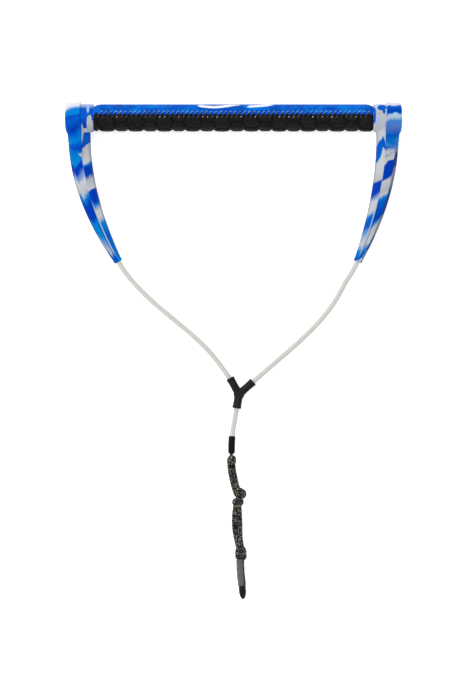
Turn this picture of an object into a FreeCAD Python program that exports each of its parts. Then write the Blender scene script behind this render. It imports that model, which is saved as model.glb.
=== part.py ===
import FreeCAD, Part
import math
import os
import Sketcher

# Tow rope handle: a straight two-handed bar with soft moulded arms at its ends, a two-legged
# rope bridle, a rubber junction, a short lead and a knotted pigtail that the tow line ties to.
# It lies on a flat surface. +X runs along the bar, -Y towards the boat, +Z up, millimetres.

Vec = FreeCAD.Vector
Rot = FreeCAD.Rotation
X_AXIS = Vec(1, 0, 0)
Z_AXIS = Vec(0, 0, 1)

doc = FreeCAD.newDocument("tow_rope_handle")
os.makedirs("parts", exist_ok=True)

# ---------------------------------------------------------------- driving dimensions
sheet = doc.addObject("Spreadsheet::Sheet", "sheet")
DIMENSIONS = [
    ("overall_width", 381.0),      # outer face to outer face of the end caps
    ("bar_diameter", 25.4),        # aluminium tube
    ("bar_wall", 1.6),
    ("bar_end_setback", 4.5),      # tube end inside the cap's outer face
    ("end_room", 32.5),            # end of the grip to the cap's outer face
    ("arm_inset", 15.5),           # arm's centreline at the bar to the cap's outer face
    ("foam_wall", 2.8),            # grip's foam over the bar
    ("seam_angle", 74.0),          # printed cover's half angle about the far side of the bar
    ("seam_gap", 0.6),             # between the two foam shells along each seam
    ("foam_gap", 0.4),             # grip's end to the guard's collar
    ("stitch_pitch", 5.4),
    ("stitch_length", 5.0),
    ("thread_diameter", 0.9),
    ("stitch_slant", 28.0),
    ("collar_wall", 3.3),          # guard's sleeve over the bar
    ("cap_wall", 2.0),             # cap's cup over that sleeve
    ("cap_length", 17.2),
    ("cap_face", 3.0),             # thickness of the closed outer face
    ("cap_edge", 2.4),             # rounding of the outer rim
    ("tongue_wall", 1.3),          # cap's tongue over the arm
    ("tongue_reach", 43.5),        # end of the tongue at the ridge, from the bar's axis
    ("tongue_side_reach", 27.0),   # end of the tongue at the arm's outer edge
    ("arm_reach", 163.4),          # bar's axis to the arm's tip
    ("arm_straight", 25.0),        # stretch of the arm with no bend
    ("arm_bend_left", 43.6),       # how far each tip leans in
    ("arm_bend_right", 33.4),
    ("arm_root_width", 25.0),
    ("arm_tip_width", 9.0),
    ("arm_root_height", 21.0),
    ("arm_tip_height", 9.2),
    ("cord_diameter", 6.0),        # coated bridle cord
    ("cord_clearance", 0.1),       # round the cord in its bores
    ("cord_stub", 1.0),            # cord showing at the arm's tip before it bends
    ("flex_offset", 6.0),          # tip to the line that the bridle folds about
    ("flex_half_gap", 3.5),        # fold line to the start of the free cord
    ("slip", 0.05),                # radial clearance of pieces slid over each other
    ("plug_flange", 1.2),
    ("plug_depth", 4.0),
    ("knot_diameter", 12.0),       # stopper knot inside the bar
    ("knot_length", 11.0),
    ("knot_rounding", 2.0),
    ("leg_width", 9.2),            # junction's legs
    ("leg_height", 9.4),
    ("left_leg_length", 21.3),
    ("right_leg_length", 21.8),
    ("stem_length", 16.2),
    ("stem_width", 9.6),
    ("hub_bulge", 0.6),            # round middle of the junction, beyond the stem's half width
    ("rim_length", 1.6),           # raised rim at each mouth of the junction
    ("rim_step", 0.35),
    ("cord_seat", 6.0),            # cord length moulded into the junction
    ("lead_straight", 2.0),        # of the lead just before its sleeve
    ("lead_in_sleeve", 14.0),
    ("sleeve_body_wall", 0.8),     # over the lead
    ("sleeve_taper", 4.5),         # shrunk stretch at the sleeve's end
    ("sleeve_shrink", 0.3),        # how far its mouth closes within the lead's radius
    ("sleeve_wall", 0.5),          # at its shrunk end
    ("shrink_slip", 0.02),
    ("eye_line", 2.4),             # line of the small eye under the sleeve
    ("neck_line", 2.6),            # the same line doubled, between sleeve and eye
    ("pin_diameter", 4.24),        # pigtail strands that pass through the eye
    ("pin_slip", 0.08),
    ("hitch_diameter", 10.2),
    ("hitch_height", 9.7),
    ("hitch_gap", 0.4),            # above, below and behind the eye
    ("hitch_back_length", 4.2),    # where the hitch closes behind the eye
    ("strand_diameter", 4.4),      # the pigtail's braid
    ("whipping_diameter", 7.7),
    ("whipping_edge", 0.5),
    ("tip_diameter", 8.5),
    ("tip_length", 16.2),
    ("floor_gap", 0.05),           # kept under everything that lies on the floor
]
for row, (alias, value) in enumerate(DIMENSIONS, start=1):
    sheet.set(f"A{row}", alias)
    sheet.set(f"B{row}", str(value))
    sheet.setAlias(f"B{row}", alias)
doc.recompute()


def size(alias):
    """The number in the sheet's cell of that name."""
    return float(getattr(sheet, alias))


# ---------------------------------------------------------------- places that follow from them
layout = doc.addObject("App::VarSet", "layout")
DERIVED = [
    ("App::PropertyFloat", "grip_diameter", "sheet.bar_diameter + 2 * sheet.foam_wall"),
    ("App::PropertyFloat", "collar_diameter", "sheet.bar_diameter + 2 * sheet.collar_wall"),
    ("App::PropertyFloat", "cap_diameter", "layout.collar_diameter + 2 * sheet.cap_wall"),
    ("App::PropertyFloat", "sleeve_diameter", "sheet.cord_diameter + 2 * sheet.sleeve_body_wall"),
    ("App::PropertyFloat", "sleeve_mouth", "sheet.cord_diameter - 2 * sheet.sleeve_shrink"),
    ("App::PropertyAngle", "tilt",
     "asin((layout.cap_diameter - sheet.arm_tip_height) / 2 / sheet.arm_reach)"),
    ("App::PropertyFloat", "bar_height", "layout.cap_diameter / 2"),
    ("App::PropertyFloat", "tip_y_from_bar", "sheet.arm_reach * cos(layout.tilt)"),
    ("App::PropertyFloat", "bar_y",
     "(layout.tip_y_from_bar + sheet.arm_tip_width / 4 - layout.cap_diameter / 2) / 2"),
    ("App::PropertyFloat", "bar_half", "sheet.overall_width / 2 - sheet.bar_end_setback"),
    ("App::PropertyFloat", "cap_inner", "sheet.overall_width / 2 - sheet.cap_length"),
    ("App::PropertyFloat", "bend_run", "sheet.arm_reach - sheet.arm_straight"),
    ("App::PropertyFloat", "arm_root", "sheet.overall_width / 2 - sheet.arm_inset"),
    ("App::PropertyFloat", "grip_length", "sheet.overall_width - 2 * sheet.end_room"),
    ("App::PropertyFloat", "collar_start", "layout.grip_length / 2 + sheet.foam_gap"),
]
for kind, name, rule in DERIVED:
    layout.addProperty(kind, name)
    layout.setExpression(name, rule)
    doc.recompute()

tilt_degrees = layout.tilt.getValueAs("deg").Value
handle_frame = FreeCAD.Placement(Vec(0, layout.bar_y, layout.bar_height), Rot(X_AXIS, tilt_degrees))

SIDES = (("left", -1), ("right", 1))
BEND_POWER = 1.85     # the arm's centreline leans in as this power of the way along it
TAPER_POWER = 1.8     # its width and height fall away as this power
nodes = []


def node(item, label):
    """Names a finished sub-part and keeps it for the export."""
    item.Label = label
    nodes.append(item)
    return item


def on_handle(item):
    """Puts a sub-part drawn in the bar's own axes where the handle lies, tips on the floor."""
    item.Placement = handle_frame
    item.setExpression("Placement.Base.y", "layout.bar_y")
    item.setExpression("Placement.Base.z", "layout.bar_height")
    item.setExpression("Placement.Rotation.Angle", "layout.tilt")
    return item


def bind(item, **rules):
    """Ties properties of a primitive or feature to rules about the sheet's cells."""
    for name, rule in rules.items():
        item.setExpression(name, rule)
    return item


def primitive(kind, name, placement=None, **rules):
    item = doc.addObject(kind, name)
    if placement is not None:
        item.Placement = placement
    return bind(item, **rules)


def boolean_cut(name, base, tool):
    item = doc.addObject("Part::Cut", name)
    item.Base = base
    item.Tool = tool
    return item


def boolean_fuse(name, pieces):
    item = doc.addObject("Part::MultiFuse", name)
    item.Shapes = pieces
    item.Refine = True
    return item


# ---------------------------------------------------------------- sketches and features
def plane(body, role):
    return next(p for p in body.Origin.OriginFeatures if p.Role == role)


def new_sketch(body, name, role):
    sketch = body.newObject("Sketcher::SketchObject", name)
    sketch.AttachmentSupport = [(plane(body, role), "")]
    sketch.MapMode = "FlatFace"
    return sketch


def pin_point(sketch, geometry, position, rules):
    """Places one point of a sketch both ways: on an axis for a rule of "0", else dimensioned."""
    for kind, axis, rule in zip(("DistanceX", "DistanceY"), (-2, -1), rules):
        if rule == "0":
            sketch.addConstraint(Sketcher.Constraint("PointOnObject", geometry, position, axis))
            continue
        value = float(sheet.evalExpression(rule))
        index = sketch.addConstraint(Sketcher.Constraint(kind, -1, 1, geometry, position, value))
        sketch.setExpression(f"Constraints[{index}]", rule)


def polygon(sketch, corners):
    """A closed outline through corners, each a pair of rules."""
    points = [Vec(*(float(sheet.evalExpression(rule)) for rule in corner), 0) for corner in corners]
    count = len(points)
    for i in range(count):
        sketch.addGeometry(Part.LineSegment(points[i], points[(i + 1) % count]))
    for i in range(count):
        sketch.addConstraint(Sketcher.Constraint("Coincident", i, 2, (i + 1) % count, 1))
    for i, corner in enumerate(corners):
        pin_point(sketch, i, 1, corner)
    return sketch


def circle(sketch, rule, centre=None):
    """A circle of that radius, on the origin or at a pair of rules."""
    spot = Vec(0, 0, 0)
    if centre is not None:
        spot = Vec(*(float(sheet.evalExpression(part)) for part in centre), 0)
    index = sketch.addGeometry(Part.Circle(spot, Z_AXIS, float(sheet.evalExpression(rule))))
    if centre is None:
        sketch.addConstraint(Sketcher.Constraint("Coincident", index, 3, -1, 1))
    else:
        pin_point(sketch, index, 3, centre)
    radius = sketch.Geometry[index].Radius
    constraint = sketch.addConstraint(Sketcher.Constraint("Radius", index, radius))
    sketch.setExpression(f"Constraints[{constraint}]", rule)
    return sketch


def pad(body, name, sketch, rule, both_ways=False, reverse=False):
    feature = body.newObject("PartDesign::Pad", name)
    feature.Profile = sketch
    feature.Midplane = both_ways
    feature.Reversed = reverse
    bind(feature, Length=rule)
    return feature


def pocket(body, name, sketch, rule=None, both_ways=False, reverse=False):
    """Cuts to a depth, or right through when no depth is given; it has to take something away."""
    doc.recompute()
    before = body.Shape.Volume
    feature = body.newObject("PartDesign::Pocket", name)
    feature.Profile = sketch
    feature.Midplane = both_ways
    feature.Reversed = reverse
    if rule is None:
        feature.Type = "ThroughAll"
    else:
        bind(feature, Length=rule)
    doc.recompute()
    if not body.Shape.Volume < before:
        raise RuntimeError(f"{name} cuts nothing")
    return feature


def turned(name, outline_rules):
    """A body of revolution about X from an outline of (along, radius) rules."""
    body = doc.addObject("PartDesign::Body", name)
    sketch = new_sketch(body, name + "_outline", "XY_Plane")
    polygon(sketch, outline_rules)
    feature = body.newObject("PartDesign::Revolution", name + "_turned")
    feature.Profile = sketch
    feature.ReferenceAxis = (sketch, ["H_Axis"])
    feature.Angle = 360
    return body


# ---------------------------------------------------------------- tubes along a route
def unit(vector):
    return Vec(vector).normalize()


def route_wire(points):
    """Straight runs joined by tangent arcs, each as large as its two runs allow."""
    edges = []
    radii = []
    start = points[0]
    for before, corner, after in zip(points, points[1:], points[2:]):
        run_in = corner - before
        run_out = after - corner
        turn = run_in.getAngle(run_out)
        shorter = min(run_in.Length, run_out.Length)
        trim = 0.45 * shorter
        radii.append(trim / math.tan(turn / 2))
        arc_start = corner - unit(run_in) * trim
        arc_end = corner + unit(run_out) * trim
        bisector = unit(unit(run_out) - unit(run_in))
        middle = corner + bisector * (radii[-1] / math.cos(turn / 2) - radii[-1])
        edges.append(Part.LineSegment(start, arc_start).toShape())
        edges.append(Part.Arc(arc_start, middle, arc_end).toShape())
        start = arc_end
    edges.append(Part.LineSegment(start, points[-1]).toShape())
    return Part.Wire(edges), radii


def tube_shape(points, radius, label):
    wire, radii = route_wire(points)
    ring = Part.Wire(Part.makeCircle(radius, points[0], points[1] - points[0]))
    shape = wire.makePipeShell([ring], True, False)
    ratio = shape.Volume / (math.pi * radius ** 2 * wire.Length)
    print(f"{label}: length {wire.Length:.1f}, least radius {min(radii):.0f}, volume ratio {ratio:.4f}")
    if abs(ratio - 1) > 0.01:
        raise RuntimeError(f"{label} has the wrong volume")
    return shape


def tube(label, points, radius):
    item = doc.addObject("Part::Feature", label)
    item.Shape = tube_shape(points, radius, label)
    return item


# ---------------------------------------------------------------- the arm's centreline
def arm_lean(share):
    """How much of the bend is reached at this share of the reach, and how fast it grows."""
    straight = size("arm_straight") / size("arm_reach")
    way = max(0.0, (share - straight) / (1 - straight))
    return way ** BEND_POWER, BEND_POWER * way ** (BEND_POWER - 1), way


def arm_point(side_name, side, share):
    """Centre of the arm at that share of its reach, in the bar's axes."""
    lean = arm_lean(share)[0]
    inward = layout.arm_root - size("arm_bend_" + side_name) * lean
    return Vec(side * inward, -size("arm_reach") * share, 0)


def arm_section(body, side_name, side, share, corners, grow="0"):
    """One sketch across the arm, its corners given as shares of the half width and height."""
    lean, slope, way = arm_lean(share)
    full = 1 - way ** TAPER_POWER
    half_width, half_height = (
        f"((sheet.arm_tip_{kind} * {1 - full:.4f} + sheet.arm_root_{kind} * {full:.4f}) / 2 + {grow})"
        for kind in ("width", "height")
    )
    sketch = new_sketch(body, f"{body.Name}_section_{round(share * 1000)}", "XZ_Plane")
    sketch.AttachmentOffset = FreeCAD.Placement(Vec(0, 0, 0), Rot(Vec(0, 1, 0), -side * 1.0))
    bind(sketch, **{
        "AttachmentOffset.Base.x":
            f"{side} * (layout.arm_root - sheet.arm_bend_{side_name} * {lean:.5f})",
        "AttachmentOffset.Base.z": f"sheet.arm_reach * {share:.5f}",
        "AttachmentOffset.Rotation.Angle":
            f"{-side} * atan(sheet.arm_bend_{side_name} * {slope:.5f} / layout.bend_run)",
    })
    polygon(sketch, [
        (f"{side * across} * {half_width}", f"{up} * {half_height}")
        for across, up in corners
    ])
    return sketch


# Facets of the arm's section, outward and up, as shares of its half width and half height.
RIDGE = -0.19
UPPER_FACETS = [(1.0, 0.30), (0.70, 0.66), (RIDGE, 1.0), (-0.82, 0.70), (-1.0, 0.32)]
ARM_FACETS = UPPER_FACETS + [(across, -up) for across, up in reversed(UPPER_FACETS)]
TONGUE_UPPER = UPPER_FACETS[:3]
TONGUE_FACETS = TONGUE_UPPER + [(across, -up) for across, up in reversed(TONGUE_UPPER)]
ARM_SHARES = (0.03, 0.15, 0.31, 0.46, 0.61, 0.75, 0.88, 1.0)
TONGUE_SHARES = (0.06, 0.15, 0.29)
GUARD_CORD_SHARES = (0.22, 0.41, 0.60, 0.79)
NEAR_TIP = 0.985      # a share just behind the tip, to find the way it points


def loft(body, name, sections):
    feature = body.newObject("PartDesign::AdditiveLoft", name)
    feature.Profile = sections[0]
    feature.Sections = sections[1:]
    return feature


# ---------------------------------------------------------------- bar and its ends
bar_cord_hole = "sheet.cord_diameter / 2 + 5 * sheet.cord_clearance"
bar = doc.addObject("PartDesign::Body", "bar")
bar_ring = new_sketch(bar, "bar_ring", "YZ_Plane")
circle(bar_ring, "sheet.bar_diameter / 2")
circle(bar_ring, "sheet.bar_diameter / 2 - sheet.bar_wall")
pad(bar, "bar_pad", bar_ring, "2 * layout.bar_half", both_ways=True)
cord_holes = new_sketch(bar, "bar_cord_holes", "XZ_Plane")
for side_name, side in SIDES:
    circle(cord_holes, bar_cord_hole, (f"{side} * layout.arm_root", "0"))
pocket(bar, "bar_cord_pocket", cord_holes, "sheet.bar_diameter", reverse=True)
node(on_handle(bar), "bar_tube")

for side_name, side in SIDES:
    plug = turned("plug_" + side_name, [
        (f"{side} * (layout.bar_half - sheet.plug_depth)", "0"),
        (f"{side} * (layout.bar_half - sheet.plug_depth)",
         "sheet.bar_diameter / 2 - sheet.bar_wall - sheet.slip"),
        (f"{side} * (layout.bar_half + sheet.slip)",
         "sheet.bar_diameter / 2 - sheet.bar_wall - sheet.slip"),
        (f"{side} * (layout.bar_half + sheet.slip)", "sheet.bar_diameter / 2"),
        (f"{side} * (layout.bar_half + sheet.slip + sheet.plug_flange)", "sheet.bar_diameter / 2"),
        (f"{side} * (layout.bar_half + sheet.slip + sheet.plug_flange)", "0"),
    ])
    node(on_handle(plug), "end_plug_" + side_name)

# ---------------------------------------------------------------- grip: two foam shells and their seams
LENGTHWISE = Rot(Vec(1, 1, 1), 120)     # a cylinder's own axis along the bar, its zero angle at +Y


def foam_shell(name, start_angle, sector_rule):
    placement = FreeCAD.Placement(Vec(-layout.grip_length / 2, 0, 0),
                                  LENGTHWISE * Rot(Z_AXIS, start_angle))
    outer = primitive("Part::Cylinder", name + "_outer", placement,
                      Radius="layout.grip_diameter / 2", Height="layout.grip_length",
                      Angle=sector_rule)
    bind(outer, **{"Placement.Base.x": "-layout.grip_length / 2"})
    inner = primitive("Part::Cylinder", name + "_inner",
                      FreeCAD.Placement(Vec(-layout.grip_length, 0, 0), LENGTHWISE),
                      Radius="sheet.bar_diameter / 2 + sheet.slip", Height="2 * layout.grip_length")
    bind(inner, **{"Placement.Base.x": "-layout.grip_length"})
    return boolean_cut(name, outer, inner)


gap_degrees = math.degrees(size("seam_gap") / layout.grip_diameter * 2)
gap_rule = "sheet.seam_gap / layout.grip_diameter * 2 * 180 / pi"
cover = foam_shell("cover", -size("seam_angle") + gap_degrees / 2,
                   f"2 * sheet.seam_angle - {gap_rule}")
node(on_handle(cover), "grip_cover")
palm = foam_shell("palm", size("seam_angle") + gap_degrees / 2,
                  f"360 - 2 * sheet.seam_angle - {gap_rule}")
node(on_handle(palm), "grip_palm_pad")

stitch_room = layout.grip_length - 2 * size("stitch_pitch")
stitch_count = int(stitch_room // size("stitch_pitch")) + 1
for seam_name, seam in (("top", 1), ("bottom", -1)):
    angle = math.radians(size("seam_angle"))
    outward = Vec(0, math.cos(angle), seam * math.sin(angle))
    across = Vec(0, seam * math.sin(angle), -math.cos(angle))
    slant = math.radians(size("stitch_slant"))
    direction = across * math.cos(slant) + X_AXIS * math.sin(slant)
    lift = (layout.grip_diameter + size("thread_diameter")) / 2 + size("slip")
    first = -(stitch_count - 1) / 2 * size("stitch_pitch")
    stitches = []
    for i in range(stitch_count):
        middle = outward * lift + X_AXIS * (first + i * size("stitch_pitch"))
        foot = middle - direction * (size("stitch_length") / 2)
        thread_radius = size("thread_diameter") / 2
        stitches.append(Part.makeCylinder(thread_radius, size("stitch_length"), foot, direction))
    seam_thread = doc.addObject("Part::Feature", "stitches_" + seam_name)
    seam_thread.Shape = Part.makeCompound(stitches)
    node(on_handle(seam_thread), "seam_thread_" + seam_name)

# ---------------------------------------------------------------- arm guards, caps and the cord inside
for side_name, side in SIDES:
    guard = doc.addObject("PartDesign::Body", "guard_" + side_name)
    sleeve_ring = new_sketch(guard, guard.Name + "_ring", "YZ_Plane")
    bind(sleeve_ring, **{"AttachmentOffset.Base.z": f"{side} * layout.collar_start"})
    circle(sleeve_ring, "layout.collar_diameter / 2")
    pad(guard, guard.Name + "_sleeve", sleeve_ring, "layout.bar_half + sheet.slip - layout.collar_start",
        reverse=side < 0)
    sections = [arm_section(guard, side_name, side, share, ARM_FACETS) for share in ARM_SHARES]
    loft(guard, guard.Name + "_arm", sections)
    bore = new_sketch(guard, guard.Name + "_bore", "YZ_Plane")
    circle(bore, "sheet.bar_diameter / 2 + sheet.slip")
    pocket(guard, guard.Name + "_bar_bore", bore, "2 * sheet.overall_width", both_ways=True)

    knot_face = size("knot_length") / 2
    tip = arm_point(side_name, side, 1.0)
    tip_direction = unit(tip - arm_point(side_name, side, NEAR_TIP))
    cord_points = [Vec(side * layout.arm_root, -knot_face, 0)]
    cord_points += [arm_point(side_name, side, share) for share in GUARD_CORD_SHARES]
    cord_points.append(tip + tip_direction * size("cord_stub"))
    cord = tube("guard_cord_" + side_name, cord_points, size("cord_diameter") / 2)
    node(on_handle(cord), "guard_cord_" + side_name)
    bore_points = cord_points[:-1] + [tip + tip_direction * 2 * size("cord_stub")]
    bore_radius = size("cord_diameter") / 2 + size("cord_clearance")
    cord_bore = tube("cord_bore_" + side_name, bore_points, bore_radius)
    node(on_handle(boolean_cut("guard_cut_" + side_name, guard, cord_bore)), "arm_guard_" + side_name)

    cap = doc.addObject("PartDesign::Body", "cap_" + side_name)
    cup_sketch = new_sketch(cap, cap.Name + "_disc", "YZ_Plane")
    bind(cup_sketch, **{"AttachmentOffset.Base.z": f"{side} * layout.cap_inner"})
    circle(cup_sketch, "layout.cap_diameter / 2")
    pad(cap, cap.Name + "_cup", cup_sketch, "sheet.cap_length", reverse=side < 0)
    doc.recompute()
    face_spots = [side * face.CenterOfMass.x for face in cap.Shape.Faces]
    far_face = face_spots.index(max(face_spots))
    rim = cap.Tip
    rounding = cap.newObject("PartDesign::Fillet", cap.Name + "_rim")
    rounding.Base = (rim, [f"Face{far_face + 1}"])
    bind(rounding, Radius="sheet.cap_edge")
    tongue_sections = [
        arm_section(cap, side_name, side, share, TONGUE_FACETS, "sheet.tongue_wall")
        for share in TONGUE_SHARES
    ]
    loft(cap, cap.Name + "_tongue", tongue_sections)
    trim = new_sketch(cap, cap.Name + "_trim", "XY_Plane")
    ridge = f"{side} * (layout.arm_root + sheet.arm_root_width / 2 * {RIDGE})"
    beyond = f"{side} * (layout.arm_root + sheet.arm_root_width)"
    before = f"{side} * (layout.arm_root - sheet.arm_root_width)"
    side_cut = "(2 * sheet.tongue_side_reach - sheet.tongue_reach)"
    polygon(trim, [
        (before, "-sheet.tongue_reach"),
        (ridge, "-sheet.tongue_reach"),
        (beyond, f"-{side_cut}"),
        (beyond, "-2 * sheet.tongue_reach"),
        (before, "-2 * sheet.tongue_reach"),
    ])
    pocket(cap, cap.Name + "_trim_cut", trim, "4 * layout.cap_diameter", both_ways=True)
    hollow = new_sketch(cap, cap.Name + "_hollow", "YZ_Plane")
    circle(hollow, "layout.collar_diameter / 2 + sheet.slip")
    pocket(cap, cap.Name + "_hollow_cut", hollow, "sheet.overall_width / 2 - sheet.cap_face",
           reverse=side > 0)
    node(on_handle(boolean_cut("cap_cut_" + side_name, cap, guard)), "end_cap_" + side_name)

    stopper = turned("stopper_" + side_name, [
        ("-sheet.knot_length / 2", "0"),
        ("-sheet.knot_length / 2", "sheet.knot_diameter / 2 - sheet.knot_rounding"),
        ("-sheet.knot_length / 2 + sheet.knot_rounding", "sheet.knot_diameter / 2"),
        ("sheet.knot_length / 2 - sheet.knot_rounding", "sheet.knot_diameter / 2"),
        ("sheet.knot_length / 2", "sheet.knot_diameter / 2 - sheet.knot_rounding"),
        ("sheet.knot_length / 2", "0"),
    ])
    stopper.Placement = handle_frame * FreeCAD.Placement(
        Vec(side * layout.arm_root, 0, 0), Rot(Z_AXIS, 90))
    node(stopper, "stopper_knot_" + side_name)

# ---------------------------------------------------------------- rubber junction
JUNCTION = Vec(6.2, -240.7, 0)
LEFT_LEG_ANGLE = 28.7       # from straight back towards the bar
RIGHT_LEG_ANGLE = -48.4
STEM_ANGLE = 170.4


def away(angle_degrees):
    """The level direction that stands at this angle, anticlockwise, from +Y."""
    angle = math.radians(angle_degrees)
    return Vec(-math.sin(angle), math.cos(angle), 0)


def junction_leg(name, angle, length, width):
    def block(suffix, start_rule, length_rule, grow):
        turn = Rot(Z_AXIS, angle + 90)
        start = float(sheet.evalExpression(start_rule))
        half = float(sheet.evalExpression(f"({width}) / 2 + {grow}"))
        corner = JUNCTION + away(angle) * start + turn.multVec(Vec(0, -half, 0))
        return primitive("Part::Box", name + suffix, FreeCAD.Placement(corner, turn),
                         Length=length_rule, Width=f"{width} + 2 * {grow}", Height="sheet.leg_height")
    return [
        block("_arm", "0", f"{length} - sheet.rim_length / 2", "0"),
        block("_rim", f"{length} - sheet.rim_length", "sheet.rim_length", "sheet.rim_step"),
    ]


hub = primitive("Part::Cylinder", "junction_hub", FreeCAD.Placement(JUNCTION, Rot()),
                Radius="sheet.stem_width / 2 + sheet.hub_bulge", Height="sheet.leg_height")
junction_pieces = [hub]
junction_pieces += junction_leg("left_leg", LEFT_LEG_ANGLE, "sheet.left_leg_length", "sheet.leg_width")
junction_pieces += junction_leg("right_leg", RIGHT_LEG_ANGLE, "sheet.right_leg_length", "sheet.leg_width")
junction_pieces += junction_leg("stem", STEM_ANGLE, "sheet.stem_length", "sheet.stem_width")
node(boolean_fuse("junction", junction_pieces), "y_connector")

# ---------------------------------------------------------------- bridle cords
cord_low = size("cord_diameter") / 2 + size("floor_gap")
mouth_height = Vec(0, 0, size("leg_height") / 2)
# Each point's place along and to the left of the straight line from the cord's start to its
# seat in the junction, as shares of that line's length.
BRIDLE_ROUTES = {
    "left": [(0.096, -0.012), (0.267, -0.011), (0.464, 0.011), (0.670, 0.033), (0.840, 0.028)],
    "right": [(0.097, 0.013), (0.238, 0.051), (0.413, 0.062), (0.603, 0.049), (0.811, 0.022)],
}
LEGS = {
    "left": (LEFT_LEG_ANGLE, "left_leg_length"),
    "right": (RIGHT_LEG_ANGLE, "right_leg_length"),
}
for side_name, side in SIDES:
    tip = handle_frame.multVec(arm_point(side_name, side, 1.0))
    behind = handle_frame.multVec(arm_point(side_name, side, NEAR_TIP))
    start = tip + unit(tip - behind) * (size("flex_offset") + size("flex_half_gap"))
    angle, length = LEGS[side_name]
    seat = JUNCTION + away(angle) * (size(length) - size("cord_seat")) + mouth_height
    span = seat - start
    points = [start]
    for along, aside in BRIDLE_ROUTES[side_name]:
        spot = start + span * along + Vec(-span.y, span.x, 0) * aside
        points.append(Vec(spot.x, spot.y, cord_low))
    points.append(seat)
    node(tube("bridle_cord_" + side_name, points, size("cord_diameter") / 2), "bridle_cord_" + side_name)

# ---------------------------------------------------------------- lead, its sleeve and its eye
SLEEVE_TOP = Vec(-1.8, -288.6, layout.sleeve_diameter / 2 + 2 * size("floor_gap"))
SLEEVE_END = Vec(-2.45, -308.8, 4.7)
HINGE = Vec(-2.5, -314.6, 0)
sleeve_way = unit(SLEEVE_END - SLEEVE_TOP)
sleeve_length = (SLEEVE_END - SLEEVE_TOP).Length
lead_end = SLEEVE_TOP + sleeve_way * size("lead_in_sleeve")
stem_mouth = JUNCTION + away(STEM_ANGLE) * size("stem_length") + mouth_height
lead_points = [
    stem_mouth - away(STEM_ANGLE) * size("cord_seat"),
    Vec(1.9, -267.0, 3.7),
    SLEEVE_TOP - sleeve_way * size("lead_straight"),
    lead_end,
]
node(tube("lead_cord", lead_points, size("cord_diameter") / 2), "lead_cord")

sleeve_rule = f"{sleeve_length:.4f}"
lead_bore = "sheet.cord_diameter / 2 + sheet.shrink_slip"
shrink = turned("shrink", [
    ("0", lead_bore),
    ("0", "layout.sleeve_diameter / 2"),
    (f"{sleeve_rule} - sheet.sleeve_taper", "layout.sleeve_diameter / 2"),
    (sleeve_rule, "layout.sleeve_mouth / 2 + sheet.sleeve_wall"),
    (sleeve_rule, "layout.sleeve_mouth / 2"),
    (f"{sleeve_rule} - 2 * sheet.sleeve_wall", lead_bore),
])
shrink.Placement = FreeCAD.Placement(SLEEVE_TOP, Rot(X_AXIS, sleeve_way))
node(shrink, "lead_sleeve")

eye_height = size("hitch_height") / 2 + size("floor_gap")
eye_radius = size("pin_diameter") / 2 + size("pin_slip") + size("eye_line") / 2
eye_centre = HINGE + Vec(0, 0, eye_height)
eye_ring = primitive("Part::Torus", "eye_ring", FreeCAD.Placement(eye_centre, Rot()),
                     Radius1="sheet.pin_diameter / 2 + sheet.pin_slip + sheet.eye_line / 2",
                     Radius2="sheet.eye_line / 2")
neck_end = eye_centre + unit(SLEEVE_END - eye_centre) * eye_radius
neck = primitive("Part::Cylinder", "eye_neck",
                 FreeCAD.Placement(lead_end, Rot(Z_AXIS, neck_end - lead_end)),
                 Radius="sheet.neck_line / 2")
neck.Height = (neck_end - lead_end).Length
node(boolean_fuse("eye", [eye_ring, neck]), "lead_eye")

# ---------------------------------------------------------------- pigtail
lobe_rule = "(sheet.hitch_height - sheet.eye_line) / 2 - sheet.hitch_gap"
lobe_height = float(sheet.evalExpression(lobe_rule))
hitch_base = HINGE + Vec(0, 0, size("floor_gap"))
low_lobe = primitive("Part::Cylinder", "low_lobe", FreeCAD.Placement(hitch_base, Rot()),
                     Radius="sheet.hitch_diameter / 2", Height=lobe_rule)
top_lobe = primitive("Part::Cylinder", "top_lobe",
                     FreeCAD.Placement(hitch_base + Vec(0, 0, size("hitch_height") - lobe_height), Rot()),
                     Radius="sheet.hitch_diameter / 2", Height=lobe_rule)
pin = primitive("Part::Cylinder", "hitch_pin", FreeCAD.Placement(hitch_base, Rot()),
                Radius="sheet.pin_diameter / 2", Height="sheet.hitch_height")
back_gap = eye_radius + size("eye_line") / 2 + size("hitch_gap")
back_corner = hitch_base - Vec(size("strand_diameter"), back_gap + size("hitch_back_length"), 0)
back_block = primitive("Part::Box", "hitch_back", FreeCAD.Placement(back_corner, Rot()),
                       Length="2 * sheet.strand_diameter", Width="sheet.hitch_back_length",
                       Height="sheet.hitch_height")
node(boolean_fuse("hitch", [low_lobe, top_lobe, pin, back_block]), "pigtail_hitch")

STRAND_ROUTES = {
    "upper_strand_left": [
        (-4.8, -321.5, 4.6), (-4.3, -328.0, 3.0), (-2.7, -336.0, 2.5),
        (-0.9, -344.2, 2.8), (1.3, -351.5, 4.4),
    ],
    "upper_strand_right": [
        (-0.2, -321.5, 4.6), (0.3, -327.4, 3.0), (1.9, -335.2, 2.5),
        (3.7, -343.4, 2.8), (5.9, -350.5, 4.4),
    ],
    "lower_strand_left": [
        (2.0, -366.5, 4.4), (1.4, -376.5, 3.4), (1.1, -387.0, 3.2),
        (1.7, -397.5, 3.2), (3.2, -407.5, 3.4), (5.2, -416.5, 4.5),
    ],
    "lower_strand_right": [
        (6.7, -366.2, 4.4), (6.7, -376.3, 3.4), (6.9, -386.8, 3.2),
        (7.3, -397.0, 3.2), (8.0, -406.6, 3.4), (9.9, -415.6, 4.5),
    ],
}
for label, route in STRAND_ROUTES.items():
    node(tube(label, [Vec(*point) for point in route], size("strand_diameter") / 2), label)


def lobe(name, centre, across, along, up):
    item = doc.addObject("Part::Ellipsoid", name)
    item.Placement = FreeCAD.Placement(Vec(*centre), Rot())
    item.Radius1 = up
    item.Radius2 = across
    item.Radius3 = along
    item.Angle1 = -90
    return item


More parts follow.
